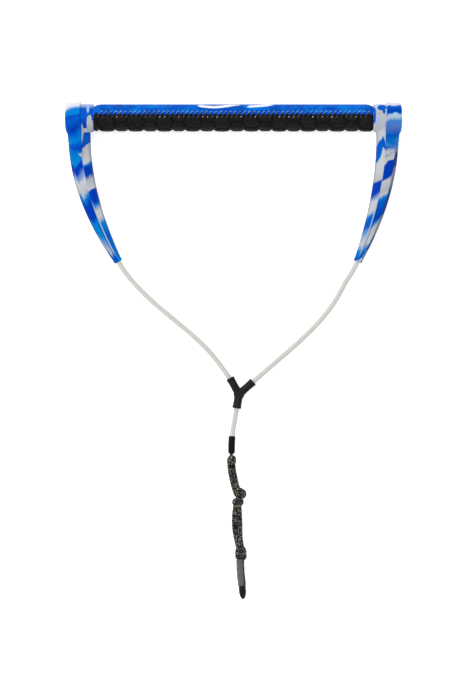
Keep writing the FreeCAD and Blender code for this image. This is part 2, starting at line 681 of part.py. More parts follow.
middle_knot = boolean_fuse("middle_knot_lumps", [
    lobe("middle_upper", (7.0, -353.6, 5.7), 7.9, 6.2, 5.6),
    lobe("middle_lower", (4.6, -363.8, 5.3), 6.3, 5.4, 5.2),
])
node(middle_knot, "middle_knot")
end_knot = lobe("end_knot_lump", (8.4, -422.0, 5.9), 6.6, 8.0, 5.8)
node(end_knot, "end_knot")

WHIPPING_TOP = Vec(7.6, -429.0, 4.7)
WHIPPING_END = Vec(9.8, -458.8, 4.35)
whipping_way = unit(WHIPPING_END - WHIPPING_TOP)
whipping_length = (WHIPPING_END - WHIPPING_TOP).Length
whipping = turned("whipping", [
    ("0", "0"),
    ("0", "sheet.whipping_diameter / 2 - sheet.whipping_edge"),
    ("2 * sheet.whipping_edge", "sheet.whipping_diameter / 2"),
    (f"{whipping_length:.4f}", "sheet.whipping_diameter / 2"),
    (f"{whipping_length:.4f}", "0"),
])
whipping.Placement = FreeCAD.Placement(WHIPPING_TOP, Rot(X_AXIS, whipping_way))
node(whipping, "pigtail_whipping")

dipped = turned("dipped", [
    ("0", "0"),
    ("0", "sheet.tip_diameter / 2"),
    ("sheet.tip_length * 0.55", "sheet.tip_diameter * 0.465"),
    ("sheet.tip_length * 0.82", "sheet.tip_diameter * 0.36"),
    ("sheet.tip_length", "sheet.tip_diameter * 0.16"),
    ("sheet.tip_length", "0"),
])
dipped.Placement = FreeCAD.Placement(WHIPPING_END, Rot(X_AXIS, whipping_way))
node(dipped, "dipped_tip")

# ---------------------------------------------------------------- checks and export
doc.recompute()
for item in doc.Objects:
    if "Invalid" in item.State or "Error" in item.State:
        raise RuntimeError(f"{item.Label} did not compute: {item.State}")
labels = [item.Label for item in nodes]
if len(set(labels)) != len(labels):
    raise RuntimeError("two sub-parts share a name")
whole = FreeCAD.BoundBox()
for item in nodes:
    shape = item.Shape
    if shape.isNull() or not shape.isValid():
        raise RuntimeError(f"{item.Label} has no valid shape")
    print(f"{item.Label}: {len(shape.Solids)} solid(s), {shape.Volume / 1000:.2f} cm3, "
          f"z {shape.BoundBox.ZMin:.2f} to {shape.BoundBox.ZMax:.2f}")
    shape.exportStep(f"parts/{item.Label}.step")
    whole.add(shape.BoundBox)
print(whole)
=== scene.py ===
import bpy
import math
import numpy as np
from mathutils import Matrix, Vector


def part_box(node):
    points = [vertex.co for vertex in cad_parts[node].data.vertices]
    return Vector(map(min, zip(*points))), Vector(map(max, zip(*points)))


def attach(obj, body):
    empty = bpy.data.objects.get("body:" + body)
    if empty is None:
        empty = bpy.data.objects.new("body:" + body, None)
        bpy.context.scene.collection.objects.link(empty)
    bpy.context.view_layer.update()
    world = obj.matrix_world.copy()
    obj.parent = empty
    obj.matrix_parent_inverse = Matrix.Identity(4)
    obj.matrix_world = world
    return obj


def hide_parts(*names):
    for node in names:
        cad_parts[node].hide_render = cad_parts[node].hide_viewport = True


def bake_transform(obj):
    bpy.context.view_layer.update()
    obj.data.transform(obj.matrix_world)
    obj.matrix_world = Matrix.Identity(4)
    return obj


# Tow rope handle. Works in metres, on the floor at z = 0, bar along X, rope towards -Y.

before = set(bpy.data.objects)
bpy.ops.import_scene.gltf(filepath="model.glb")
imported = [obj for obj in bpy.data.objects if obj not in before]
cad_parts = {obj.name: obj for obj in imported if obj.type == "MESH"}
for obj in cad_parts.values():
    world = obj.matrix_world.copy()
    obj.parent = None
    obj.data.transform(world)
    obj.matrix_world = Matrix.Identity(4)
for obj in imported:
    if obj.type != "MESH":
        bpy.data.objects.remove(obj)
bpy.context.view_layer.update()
mm = 0.001
print("stage: frame loaded")

# where the bar lies, and how far the handle tips forward onto its arm tips
barLow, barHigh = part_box("bar_tube")
barMiddle = (Vector(barLow) + Vector(barHigh)) / 2
handle = dict(
    capRadius=18.0 * mm,
    reach=163.4 * mm,
    tipHeight=9.2 * mm,
)
tilt = math.asin((handle["capRadius"] - handle["tipHeight"] / 2) / handle["reach"])
handleMatrix = Matrix.Translation((0, barMiddle.y, barMiddle.z)) @ Matrix.Rotation(tilt, 4, "X")
sides = (("left", -1), ("right", 1))


# camera
def makeCamera():
    shot = dict(middleY=-190.1 * mm, distance=2.4, tall=801.4 * mm, sensor=36.0)
    data = bpy.data.cameras.new("shotCamera")
    data.sensor_width = shot["sensor"]
    data.lens = shot["sensor"] * shot["distance"] / shot["tall"]
    camera = bpy.data.objects.new("shotCamera", data)
    camera.location = (0, shot["middleY"], shot["distance"])
    bpy.context.scene.collection.objects.link(camera)
    bpy.context.scene.camera = camera


makeCamera()


# mesh helpers
def newPiece(name, points, faces, smooth=True):
    mesh = bpy.data.meshes.new(name)
    mesh.from_pydata([tuple(map(float, p)) for p in points], [], faces)
    mesh.validate()
    mesh.update()
    if smooth:
        mesh.polygons.foreach_set("use_smooth", [True] * len(mesh.polygons))
    piece = bpy.data.objects.new(name, mesh)
    bpy.context.scene.collection.objects.link(piece)
    return piece


def gridFaces(rows, columns, start=0, closed=True):
    faces = []
    last = columns if closed else columns - 1
    for r in range(rows - 1):
        for c in range(last):
            a = start + r * columns + c
            b = start + r * columns + (c + 1) % columns
            faces.append((a, b, b + columns, a + columns))
    return faces


def tubeFaces(rows, ring):
    # a closed tube's skin with both its ends
    last = (rows - 1) * ring
    return gridFaces(rows, ring) + [tuple(range(ring)), tuple(reversed(range(last, last + ring)))]


def joinParts(parts):
    # puts (points, faces) lists together as one
    points = []
    faces = []
    for partPoints, partFaces in parts:
        base = len(points)
        points.extend(partPoints)
        faces.extend([tuple(i + base for i in face) for face in partFaces])
    return points, faces


def turnFrames(path):
    # two directions across the path at each point, carried along without twist
    path = np.asarray(path, float)
    tangent = np.gradient(path, axis=0)
    tangent /= np.linalg.norm(tangent, axis=1)[:, None]
    helper = np.array([0.0, 0.0, 1.0])
    if abs(tangent[0] @ helper) > 0.9:
        helper = np.array([1.0, 0.0, 0.0])
    side = np.cross(tangent[0], helper)
    sidesAlong = [side / np.linalg.norm(side)]
    for t in tangent[1:]:
        side = sidesAlong[-1] - t * (sidesAlong[-1] @ t)
        sidesAlong.append(side / np.linalg.norm(side))
    across = np.array(sidesAlong)
    return tangent, across, np.cross(across, tangent)


def tubeParts(path, radius, ring=12, flat=1.0):
    # A closed tube along the path; radius is one number or one for each point
    path = np.asarray(path, float)
    tangent, across, up = turnFrames(path)
    radii = np.broadcast_to(np.asarray(radius, float), (len(path),))
    turn = np.linspace(0, 2 * math.pi, ring, endpoint=False)
    points = []
    for p, a, u, r in zip(path, across, up, radii):
        points.extend(p + r * (math.cos(w) * a + flat * math.sin(w) * u) for w in turn)
    return points, tubeFaces(len(path), ring)


def latheParts(profile, origin, axis, ring=48, lobes=None):
    # turns a profile of (along, radius) about an axis; the ends close on the axis
    axis = Vector(axis).normalized()
    turn = Vector((1, 0, 0)).rotation_difference(axis).to_matrix()
    points = []
    for along, radius in profile:
        for i in range(ring):
            w = 2 * math.pi * i / ring
            r = radius if lobes is None else radius * lobes(w, along)
            points.append(Vector(origin) + turn @ Vector((along, r * math.cos(w), r * math.sin(w))))
    faces = gridFaces(len(profile), ring)
    faces.append(tuple(reversed(range(ring))))
    faces.append(tuple(range(len(points) - ring, len(points))))
    return points, faces


def rebuilt(piece, voxel, rounds, factor=0.5, fair=None):
    # joins overlapping closed shells into one skin and rounds it; fair is how far from the bar
    # it is rounded most, how wide that stretch is, and how many times
    remesh = piece.modifiers.new("joinSkin", "REMESH")
    remesh.mode = "VOXEL"
    remesh.voxel_size = voxel
    soften = piece.modifiers.new("soften", "SMOOTH")
    soften.factor = factor
    soften.iterations = rounds
    depsgraph = bpy.context.evaluated_depsgraph_get()
    mesh = bpy.data.meshes.new_from_object(piece.evaluated_get(depsgraph))
    piece.modifiers.clear()
    old = piece.data
    piece.data = mesh
    bpy.data.meshes.remove(old)
    mesh.polygons.foreach_set("use_smooth", [True] * len(mesh.polygons))
    if fair:
        group = piece.vertex_groups.new(name="fair")
        away = -meshPoints(piece)[:, 1] / mm
        weights = np.clip(1 - np.abs(away - fair[0]) / fair[1], 0, 1)
        for step in range(1, 11):
            chosen = np.flatnonzero(np.ceil(weights * 10) == step)
            group.add([int(i) for i in chosen], step / 10, "REPLACE")
        soften = piece.modifiers.new("fair", "SMOOTH")
        soften.factor = 0.5
        soften.iterations = fair[2]
        soften.vertex_group = "fair"
        mesh = bpy.data.meshes.new_from_object(piece.evaluated_get(bpy.context.evaluated_depsgraph_get()))
        piece.modifiers.clear()
        piece.data = mesh
        piece.vertex_groups.clear()
    return piece


def meshPoints(piece):
    flat = np.empty(len(piece.data.vertices) * 3)
    piece.data.vertices.foreach_get("co", flat)
    return flat.reshape(-1, 3)


def addNumbers(piece, name, values):
    # keeps one number for each vertex, for the material to read
    layer = piece.data.attributes.new(name, "FLOAT", "POINT")
    layer.data.foreach_set("value", np.asarray(values, float))


def routeLine(name, route, steps=24):
    # the smooth line of a cord's route, as points
    data = bpy.data.curves.new(name, "CURVE")
    data.dimensions = "3D"
    spline = data.splines.new("NURBS")
    spline.points.add(len(route) - 1)
    for point, place in zip(spline.points, route):
        point.co = (*place, 1)
    spline.order_u = 3
    spline.use_endpoint_u = True
    spline.resolution_u = steps
    data.resolution_u = steps
    curve = bpy.data.objects.new(name, data)
    bpy.context.scene.collection.objects.link(curve)
    depsgraph = bpy.context.evaluated_depsgraph_get()
    line = bpy.data.meshes.new_from_object(curve.evaluated_get(depsgraph))
    points = [tuple(v.co) for v in line.vertices]
    bpy.data.objects.remove(curve)
    bpy.data.curves.remove(data)
    bpy.data.meshes.remove(line)
    return np.array(points)


def evenly(path, step):
    # the same line with points about one step apart
    path = np.asarray(path, float)
    gaps = np.linalg.norm(np.diff(path, axis=0), axis=1)
    keep = np.concatenate(([True], gaps > 1e-7))
    path = path[keep]
    far = np.concatenate(([0], np.cumsum(np.linalg.norm(np.diff(path, axis=0), axis=1))))
    count = max(4, int(round(far[-1] / step)) + 1)
    spots = np.linspace(0, far[-1], count)
    return np.stack([np.interp(spots, far, path[:, k]) for k in range(3)], axis=1)


def lineLength(path):
    return float(np.linalg.norm(np.diff(np.asarray(path), axis=0), axis=1).sum())


# material helpers
class Finish:
    # A material with a few short ways to wire it

    def __init__(self, name, colour, rough):
        self.material = bpy.data.materials.new(name)
        self.material.use_nodes = True
        self.tree = self.material.node_tree
        self.shader = self.tree.nodes["Principled BSDF"]
        self.shader.inputs["Base Color"].default_value = (*colour, 1)
        self.shader.inputs["Roughness"].default_value = rough
        self.place = self.add("ShaderNodeTexCoord").outputs["Object"]

    def add(self, kind, **settings):
        item = self.tree.nodes.new(kind)
        for key, value in settings.items():
            setattr(item, key, value)
        return item

    def link(self, source, target):
        self.tree.links.new(source, target)
        return self

    def stretched(self, scale, turn=(0, 0, 0)):
        mapping = self.add("ShaderNodeMapping")
        mapping.inputs["Scale"].default_value = scale
        mapping.inputs["Rotation"].default_value = turn
        self.link(self.place, mapping.inputs["Vector"])
        return mapping.outputs["Vector"]

    def noise(self, scale, detail=3.0, rough=0.5, warp=0.0, place=None):
        item = self.add("ShaderNodeTexNoise")
        item.inputs["Scale"].default_value = scale
        item.inputs["Detail"].default_value = detail
        item.inputs["Roughness"].default_value = rough
        item.inputs["Distortion"].default_value = warp
        self.link(place or self.place, item.inputs["Vector"])
        return item.outputs["Fac"]

    def number(self, name):
        item = self.add("ShaderNodeAttribute")
        item.attribute_name = name
        return item.outputs["Fac"]

    def sum(self, operation, first, second, clamp=False):
        item = self.add("ShaderNodeMath", operation=operation, use_clamp=clamp)
        for socket, value in zip(item.inputs, (first, second)):
            if isinstance(value, (int, float)):
                socket.default_value = value
            else:
                self.link(value, socket)
        return item.outputs[0]

    def spread(self, value, low, high, newLow=0.0, newHigh=1.0, soft=False):
        item = self.add("ShaderNodeMapRange")
        item.interpolation_type = "SMOOTHSTEP" if soft else "LINEAR"
        for key, amount in (("From Min", low), ("From Max", high), ("To Min", newLow), ("To Max", newHigh)):
            item.inputs[key].default_value = amount
        self.link(value, item.inputs["Value"])
        return item.outputs["Result"]

    def ramp(self, value, stops):
        item = self.add("ShaderNodeValToRGB")
        band = item.color_ramp
        while len(band.elements) > 1:
            band.elements.remove(band.elements[-1])
        for i, (spot, colour) in enumerate(stops):
            stop = band.elements[0] if i == 0 else band.elements.new(spot)
            stop.position = spot
            stop.color = (*colour, 1)
        self.link(value, item.inputs["Fac"])
        return item.outputs["Color"]

    def mix(self, share, first, second):
        item = self.add("ShaderNodeMix", data_type="RGBA")
        for socket, value in ((item.inputs[0], share), (item.inputs[6], first), (item.inputs[7], second)):
            if isinstance(value, (int, float)):
                socket.default_value = value
            elif isinstance(value, tuple):
                socket.default_value = (*value, 1)
            else:
                self.link(value, socket)
        return item.outputs[2]

    def colour(self, source):
        return self.link(source, self.shader.inputs["Base Color"])

    def roughness(self, value, low, high):
        return self.link(self.spread(value, 0.3, 0.7, low, high), self.shader.inputs["Roughness"])

    def bump(self, height, distance, strength=1.0):
        item = self.add("ShaderNodeBump")
        item.inputs["Distance"].default_value = distance
        item.inputs["Strength"].default_value = strength
        self.link(height, item.inputs["Height"])
        return self.link(item.outputs["Normal"], self.shader.inputs["Normal"])

    def set(self, **values):
        for key, value in values.items():
            self.shader.inputs[key.replace("_", " ")].default_value = value
        return self


deepBlue = (0.0, 0.041, 0.41)
midBlue = (0.0, 0.090, 0.50)
cyanBlue = (0.0, 0.19, 0.56)
lavender = (0.20, 0.33, 0.55)
offWhite = (0.51, 0.525, 0.545)
# shadeWhite is the white rubber with painted shade: a darker copy of offWhite, used where the white lies in
# shade
shadeWhite = (0.41, 0.435, 0.47)


# cords first
cordInfo = dict(
    diameter=6.0 * mm,
    low=3.05 * mm,
    tipHide=2.5 * mm,       # how far the free cord starts inside the arm's tip
    foldStart=(0, -88.5 * mm, 4.2 * mm),
    foldEnd=(0, -101.3 * mm, 4.2 * mm),
)
# places along and to the left of the straight line from start to seat, as shares of its length
bridleRoutes = {
    "left": [(0.096, -0.012), (0.267, -0.011), (0.464, 0.011), (0.670, 0.033), (0.840, 0.028)],
    "right": [(0.097, 0.013), (0.238, 0.051), (0.413, 0.062), (0.603, 0.049), (0.811, 0.022)],
}
bridleEnds = {
    "left": dict(tip=(-131.4, -89.3, 4.6), start=(-126.6, -97.5, 3.9), seat=(-1.1, -227.3, 4.7)),
    "right": dict(tip=(141.6, -89.3, 4.6), start=(137.8, -98.0, 3.9), seat=(18.0, -230.2, 4.7)),
}


def coatedCordFinish():
    f = Finish("coatedCord", (0.66, 0.69, 0.60), 0.38)
    tone = f.noise(260, 2)
    f.colour(f.mix(f.spread(tone, 0.3, 0.7), (0.525, 0.555, 0.495), (0.57, 0.595, 0.535)))
    f.bump(f.noise(900, 3, place=f.stretched((1, 1, 1))), 0.00004, 0.35)
    f.roughness(f.noise(420, 2), 0.34, 0.46)
    f.set(Specular_IOR_Level=0.22)
    return f.material


coatedCord = coatedCordFinish()


def settle(piece, material, nodeName, body=None):
    # the piece's material, the CAD piece it stands for and the body it rides on
    piece.data.materials.clear()
    piece.data.materials.append(material)
    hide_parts(nodeName)
    if body:
        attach(piece, body)
    return piece


def makeBridleCord(sideName):
    ends = bridleEnds[sideName]
    tip = Vector(ends["tip"]) * mm
    start = Vector(ends["start"]) * mm
    hidden = tip - (start - tip).normalized() * cordInfo["tipHide"]
    route = [tuple(hidden), tuple(start)]
    seat = Vector(ends["seat"]) * mm
    span = seat - start
    for along, aside in bridleRoutes[sideName]:
        spot = start + span * along + Vector((-span.y, span.x, 0)) * aside
        route.append((spot.x, spot.y, cordInfo["low"]))
    route.append(tuple(seat))
    path = evenly(routeLine("bridleLine_" + sideName, route), 1.5 * mm)
    points, faces = tubeParts(path, cordInfo["diameter"] / 2, ring=20)
    piece = newPiece("bridleCord_" + sideName, points, faces)
    settle(piece, coatedCord, "bridle_cord_" + sideName)
    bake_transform(piece)
    return piece, path


bridleCords = {}
for sideName, side in sides:
    bridleCords[sideName] = makeBridleCord(sideName)

leadInfo = dict(
    route=[(4.5, -250.8, 4.7), (1.9, -267.0, 3.7), (-1.7, -286.6, 3.8), (-2.25, -302.6, 4.45)],
    sleeveTop=(-1.8, -288.6, 3.9),
    sleeveEnd=(-2.45, -308.8, 4.7),
    hinge=(-2.5, -314.6, 4.9),
)


def makeLead():
    route = [tuple(Vector(p) * mm) for p in leadInfo["route"]]
    path = evenly(routeLine("leadLine", route), 1.5 * mm)
    points, faces = tubeParts(path, cordInfo["diameter"] / 2, ring=20)
    piece = newPiece("leadCord", points, faces)
    settle(piece, coatedCord, "lead_cord", "bridle")
    return piece, path


leadCord, leadPath = makeLead()
print("stage: free cords")


# braided pigtail
strandRoutes = {
    "upper_strand_left": [
        (-4.8, -321.5, 4.6), (-4.3, -328.0, 3.0), (-2.7, -336.0, 2.5), (-0.9, -344.2, 2.8),
        (1.3, -351.5, 4.4),
    ],
    "upper_strand_right": [
        (-0.2, -321.5, 4.6), (0.3, -327.4, 3.0), (1.9, -335.2, 2.5), (3.7, -343.4, 2.8), (5.9, -350.5, 4.4),
    ],
    "lower_strand_left": [
        (2.0, -366.5, 4.4), (1.4, -376.5, 3.4), (1.1, -387.0, 3.2),
        (1.7, -397.5, 3.2), (3.2, -407.5, 3.4), (5.2, -416.5, 4.5),
    ],
    "lower_strand_right": [
        (6.7, -366.2, 4.4), (6.7, -376.3, 3.4), (6.9, -386.8, 3.2),
        (7.3, -397.0, 3.2), (8.0, -406.6, 3.4), (9.9, -415.6, 4.5),
    ],
}
braid = dict(
    carriers=7,             # yarns each way round
    radius=2.2 * mm,
    upperSwell=(1.15, 1.17, 1.14, 1.06),                    # looser in its middle than at its ends
    lowerSwell=(1.10, 1.38, 1.52, 1.50, 1.38, 1.18, 1.06),
    lay=13.0 * mm,          # length of one turn of a yarn
    yarnWide=1.1 * mm,
    yarnThick=0.55 * mm,
    yarnSides=6,
    fleckLong=0.95 * mm,    # pale and dark stretches of a yarn
    step=0.55 * mm,
)


def braidFinish():
    f = Finish("fleckedBraid", (0.02, 0.018, 0.016), 0.62)
    fleck = f.noise(1500, 2, 0.6, place=f.stretched((1, 0.6, 1)))
    shade = f.noise(330, 3)
    dark = f.mix(f.spread(shade, 0.35, 0.65), (0.0015, 0.0012, 0.001), (0.007, 0.006, 0.0052))
    pale = f.mix(f.spread(fleck, 0.60, 0.68, 0, 0.3), dark, (0.15, 0.134, 0.115))
    yarn = f.number("yarnTone")
    f.colour(f.mix(yarn, pale, (0.43, 0.39, 0.34)))
    f.bump(f.noise(2600, 2, place=f.stretched((1, 0.3, 1))), 0.0001, 0.7)
    f.set(Specular_IOR_Level=0.05)
    return f.material


fleckedBraid = braidFinish()


def yarnSection(path, across, up, wide, thick):
    # A flat oval yarn whose broad side faces outwards
    turn = np.linspace(0, 2 * math.pi, braid["yarnSides"], endpoint=False)
    points = []
    for p, a, u in zip(path, across, up):
        points.extend(p + wide / 2 * math.cos(w) * a + thick / 2 * math.sin(w) * u for w in turn)
    return points, tubeFaces(len(path), braid["yarnSides"])


def braidParts(path, radius, seed, wideScale=1.0):
    # yarns that run round the path both ways, over one and under one
    path = evenly(path, braid["step"])
    chosen = np.atleast_1d(np.asarray(radius, float))
    radii = np.interp(np.linspace(0, 1, len(path)), np.linspace(0, 1, len(chosen)), chosen)
    tangent, across, up = turnFrames(path)
    far = np.concatenate(([0], np.cumsum(np.linalg.norm(np.diff(path, axis=0), axis=1))))
    parts = []
    tones = []
    draw = np.random.default_rng(seed)
    carriers = braid["carriers"]
    for way in (-1, 1):
        for k in range(carriers):
            wobble = draw.normal(0, 0.05)
            angle = way * (far / braid["lay"] * 2 * math.pi) + 2 * math.pi * k / carriers + wobble
            weave = np.cos(way * angle * carriers + (0 if way > 0 else math.pi))
            lift = radii - braid["yarnThick"] / 2 - braid["yarnThick"] * 0.42 * (1 - weave)
            out = np.cos(angle)[:, None] * across + np.sin(angle)[:, None] * up
            line = path + out * lift[:, None]
            run = np.gradient(line, axis=0)
            run /= np.linalg.norm(run, axis=1)[:, None]
            flat = np.cross(run, out)
            wide = braid["yarnWide"] * wideScale * float(np.mean(radii)) / (2.5 * mm) * draw.uniform(0.9, 1.1)
            part = yarnSection(line, flat, out, wide, braid["yarnThick"])
            parts.append(part)
            flecks = draw.random(int(far[-1] / braid["fleckLong"]) + 3)
            flecks = np.where(flecks > 0.60, flecks * 2.0 - 1.12, flecks * 0.03)
            spots = (far / braid["fleckLong"] + draw.random()).astype(int)
            tones.extend(np.repeat(flecks[spots], braid["yarnSides"]))
    core = tubeParts(path, radii - braid["yarnThick"] * 0.45, ring=14)
    parts.append(core)
    tones.extend([0.0] * len(core[0]))
    points, faces = joinParts(parts)
    return points, faces, tones


def makeBraid(name, path, radius, seed, nodeName):
    points, faces, tones = braidParts(path, radius, seed)
    piece = newPiece(name, points, faces)
    addNumbers(piece, "yarnTone", tones)
    return settle(piece, fleckedBraid, nodeName, "pigtail")


strandPieces = {}
for seed, (nodeName, route) in enumerate(strandRoutes.items()):
    path = routeLine(nodeName + "_line", [tuple(Vector(p) * mm) for p in route])
    path = evenly(path, braid["step"])
    radius = braid["radius"]
    swell = np.array(braid["upperSwell"] if nodeName.startswith("upper") else braid["lowerSwell"])
    words = nodeName.split("_")
    pieceName = words[0] + "Braid_" + words[2]
    piece = makeBraid(pieceName, path, radius * swell, 40 + seed, nodeName)
    strandPieces[nodeName] = (piece, path, radius)


def smoothLoop(points, closed=False):
    # A smooth line through a few chosen points (Catmull-Rom)
    p = [np.array(q, float) * mm for q in points]
    if not closed:
        p = [2 * p[0] - p[1]] + p + [2 * p[-1] - p[-2]]
    line = []
    for a, b, c, d in zip(p, p[1:], p[2:], p[3:]):
        for t in np.linspace(0, 1, 14, endpoint=False):
            line.append(0.5 * (2 * b + (c - a) * t + (2 * a - 5 * b + 4 * c - d) * t ** 2
                               + (3 * b - a - 3 * c + d) * t ** 3))
    line.append(p[-2])
    return np.array(line)


# the knots are turns of the same braid, laid over each other and drawn up
knotTurns = {
    "middle_knot": dict(
        radius=2.55 * mm,
        wrap=[(0.4, -367.0, 3.0), (1.0, -367.9, 6.2), (3.6, -368.3, 7.4), (7.2, -367.8, 6.6),
              (8.4, -366.6, 3.2)],
        lines=[
            [(3.6, -349.0, 3.2), (8.4, -350.2, 2.9), (12.1, -353.0, 4.0), (11.6, -356.6, 6.6),
             (7.6, -357.6, 8.4), (3.4, -355.4, 8.2), (1.9, -352.0, 6.6), (3.6, -349.0, 4.6)],
            [(1.2, -350.6, 5.6), (5.6, -350.4, 8.2), (9.8, -352.6, 8.0), (10.4, -357.0, 5.2),
             (7.0, -359.8, 3.4), (3.4, -361.4, 3.0), (0.9, -363.8, 4.2), (2.2, -366.4, 6.6)],
            [(8.6, -358.4, 3.0), (6.4, -360.6, 6.4), (1.8, -361.8, 7.6), (0.9, -364.8, 4.2),
             (4.8, -366.6, 2.8), (8.6, -365.4, 4.4), (8.8, -362.4, 7.2), (4.8, -361.6, 8.2),
             (1.2, -363.6, 6.6)],
            [(2.2, -349.4, 4.4), (5.4, -352.2, 5.4), (7.8, -354.2, 5.6), (6.8, -358.0, 5.0),
             (4.6, -362.4, 5.2)],
        ],
    ),
    "end_knot": dict(
        radius=2.6 * mm,
        lines=[
            [(4.6, -417.2, 4.4), (8.8, -415.8, 6.8), (12.2, -418.4, 6.8), (12.0, -422.6, 4.0),
             (8.4, -424.8, 3.0), (4.6, -422.8, 4.6), (5.4, -418.8, 7.8), (9.6, -418.0, 8.6)],
            [(4.2, -424.4, 6.4), (8.6, -423.4, 8.6), (12.6, -425.0, 6.4), (11.6, -427.8, 3.4),
             (7.0, -428.2, 3.0), (4.2, -426.2, 4.8), (6.0, -424.0, 8.2)],
            [(6.4, -416.0, 3.2), (4.4, -419.6, 3.4), (4.6, -423.8, 3.2), (8.0, -426.8, 4.4),
             (10.8, -424.2, 7.6),
             (12.0, -420.4, 7.2)],
            [(6.6, -419.4, 5.6), (8.6, -421.8, 6.6), (9.0, -424.6, 5.2), (8.2, -427.4, 5.4)],
        ],
    ),
}


def braidTurns(lines, radius, seed, wideScale):
    parts = []
    tones = []
    for i, line in enumerate(lines):
        points, faces, tone = braidParts(smoothLoop(line), radius, seed + i, wideScale)
        parts.append((points, faces))
        tones.extend(tone)
    return parts, tones


def makeKnot(nodeName, seed):
    info = knotTurns[nodeName]
    parts, tones = braidTurns(info["lines"], info["radius"], seed, 1.05)
    if "wrap" in info:
        wrap = tubeParts(smoothLoop(info["wrap"]), 0.75 * mm, ring=8)
        parts.append(wrap)
        tones.extend([0.42] * len(wrap[0]))
    points, faces = joinParts(parts)
    points = np.array([tuple(p) for p in points])
    points[:, 2] = np.maximum(points[:, 2], 0.1 * mm)
    words = nodeName.split("_")
    piece = newPiece(words[0] + "Knot", points, faces)
    addNumbers(piece, "yarnTone", tones)
    return settle(piece, fleckedBraid, nodeName, "pigtail")


makeKnot("middle_knot", 70)
makeKnot("end_knot", 80)


def makeHitch():
    # two turns round the eye, drawn into the doubled braid
    turns = [
        [(-4.6, -323.4, 4.4), (-5.5, -319.8, 5.4), (-6.0, -316.6, 5.6), (-5.4, -314.2, 5.8),
         (-4.0, -314.4, 7.0),
         (-3.3, -316.6, 7.4), (-3.6, -319.6, 6.4)],
        [(-0.3, -323.4, 4.4), (0.7, -319.6, 5.4), (1.4, -315.6, 5.6), (0.8, -312.6, 5.6), (-0.6, -312.5, 6.6),
         (-1.4, -315.0, 7.0), (-1.3, -318.8, 6.4)],
        [(-5.4, -319.0, 2.4), (-4.6, -316.0, 2.2), (-2.5, -315.4, 2.2), (-0.2, -315.4, 2.2),
         (0.6, -318.6, 2.4)],
        [(-5.6, -321.0, 6.0), (-3.6, -319.6, 7.4), (-1.0, -319.8, 7.2), (0.6, -321.4, 5.6)],
    ]
    parts, tones = braidTurns(turns, 1.75 * mm, 90, 1.3)
    points, faces = joinParts(parts)
    piece = newPiece("pigtailHitch", points, faces)
    addNumbers(piece, "yarnTone", tones)
    return settle(piece, fleckedBraid, "pigtail_hitch", "pigtail")


makeHitch()
print("stage: braided pigtail")

# whipping and dipped tip
tail = dict(
    top=(7.6, -429.0, 4.7),
    end=(9.8, -458.8, 4.35),
    radius=4.45 * mm,
    twine=0.34 * mm,
    pitch=0.66 * mm,
    tipRadius=4.5 * mm,
    tipLength=16.2 * mm,
)


def whippingFinish():
    f = Finish("whippingTwine", (0.2, 0.18, 0.17), 0.7)
    tone = f.noise(700, 3)
    twine = f.mix(f.spread(tone, 0.35, 0.65), (0.10, 0.088, 0.084), (0.20, 0.177, 0.172))
    # painted shade down the +X side of the whipping
    f.colour(f.mix(f.spread(f.number("aside"), 0.42, 0.70), twine, (0.006, 0.005, 0.005)))
    f.bump(f.noise(2400, 3), 0.00012, 0.8)
    f.set(Specular_IOR_Level=0.15)
    return f.material


def makeWhipping():
    top = np.array(tail["top"]) * mm
    end = np.array(tail["end"]) * mm
    length = np.linalg.norm(end - top)
    way = (end - top) / length
    bow = np.cross(way, (0, 0, 1))
    share = np.linspace(0, 1, 40)
    middle = top + share[:, None] * (end - top) + np.sin(share * math.pi)[:, None] * bow * 0.5 * mm
    tangent, across, up = turnFrames(middle)
    turns = length / tail["pitch"]
    count = int(turns * 20)
    s = np.linspace(0, 1, count)
    angle = s * turns * 2 * math.pi
    spots = s * 39
    centre = np.stack([np.interp(spots, range(40), middle[:, k]) for k in range(3)], axis=1)
    a = np.stack([np.interp(spots, range(40), across[:, k]) for k in range(3)], axis=1)
    u = np.stack([np.interp(spots, range(40), up[:, k]) for k in range(3)], axis=1)
    swell = 1 - 0.14 * np.exp(-s * 40) + 0.02 * np.sin(s * 21)
    reach = (tail["radius"] - tail["twine"]) * swell
    line = centre + np.cos(angle)[:, None] * a * reach[:, None] + np.sin(angle)[:, None] * u * reach[:, None]
    coil = tubeParts(line, tail["twine"] * 1.05, ring=6)
    # a second, steeper layer shows as fine slanted ridges under the first
    slant = []
    for k in range(10):
        turn = s * 4.5 * math.pi + 2 * math.pi * k / 10
        r = reach * 1.03
        ridge = centre + np.cos(turn)[:, None] * a * r[:, None] + np.sin(turn)[:, None] * u * r[:, None]
        slant.append(tubeParts(ridge[::12], 0.30 * mm, ring=5))
    core = tubeParts(centre[::20], tail["radius"] * 0.86, ring=24)
    points, faces = joinParts([coil, core] + slant)
    piece = newPiece("whipping", points, faces)
    beside = np.cross((0, 0, 1), way)
    # sideways place across the whipping, read by its painted shade
    addNumbers(piece, "aside", (np.array([tuple(q) for q in points]) - top) @ beside / tail["radius"])
    return settle(piece, whippingFinish(), "pigtail_whipping", "pigtail")


def blackRubberFinish(name, rough, gloss):
    f = Finish(name, (0.018, 0.018, 0.019), rough)
    tone = f.noise(180, 4)
    f.colour(f.mix(f.spread(tone, 0.3, 0.7), (0.0035, 0.0028, 0.0022), (0.012, 0.0100, 0.0085)))
    f.bump(f.noise(1500, 4, 0.6), 0.00008, 0.6)
    f.roughness(f.noise(600, 3), rough - 0.08, rough + 0.08)
    f.set(Specular_IOR_Level=gloss)
    return f.material


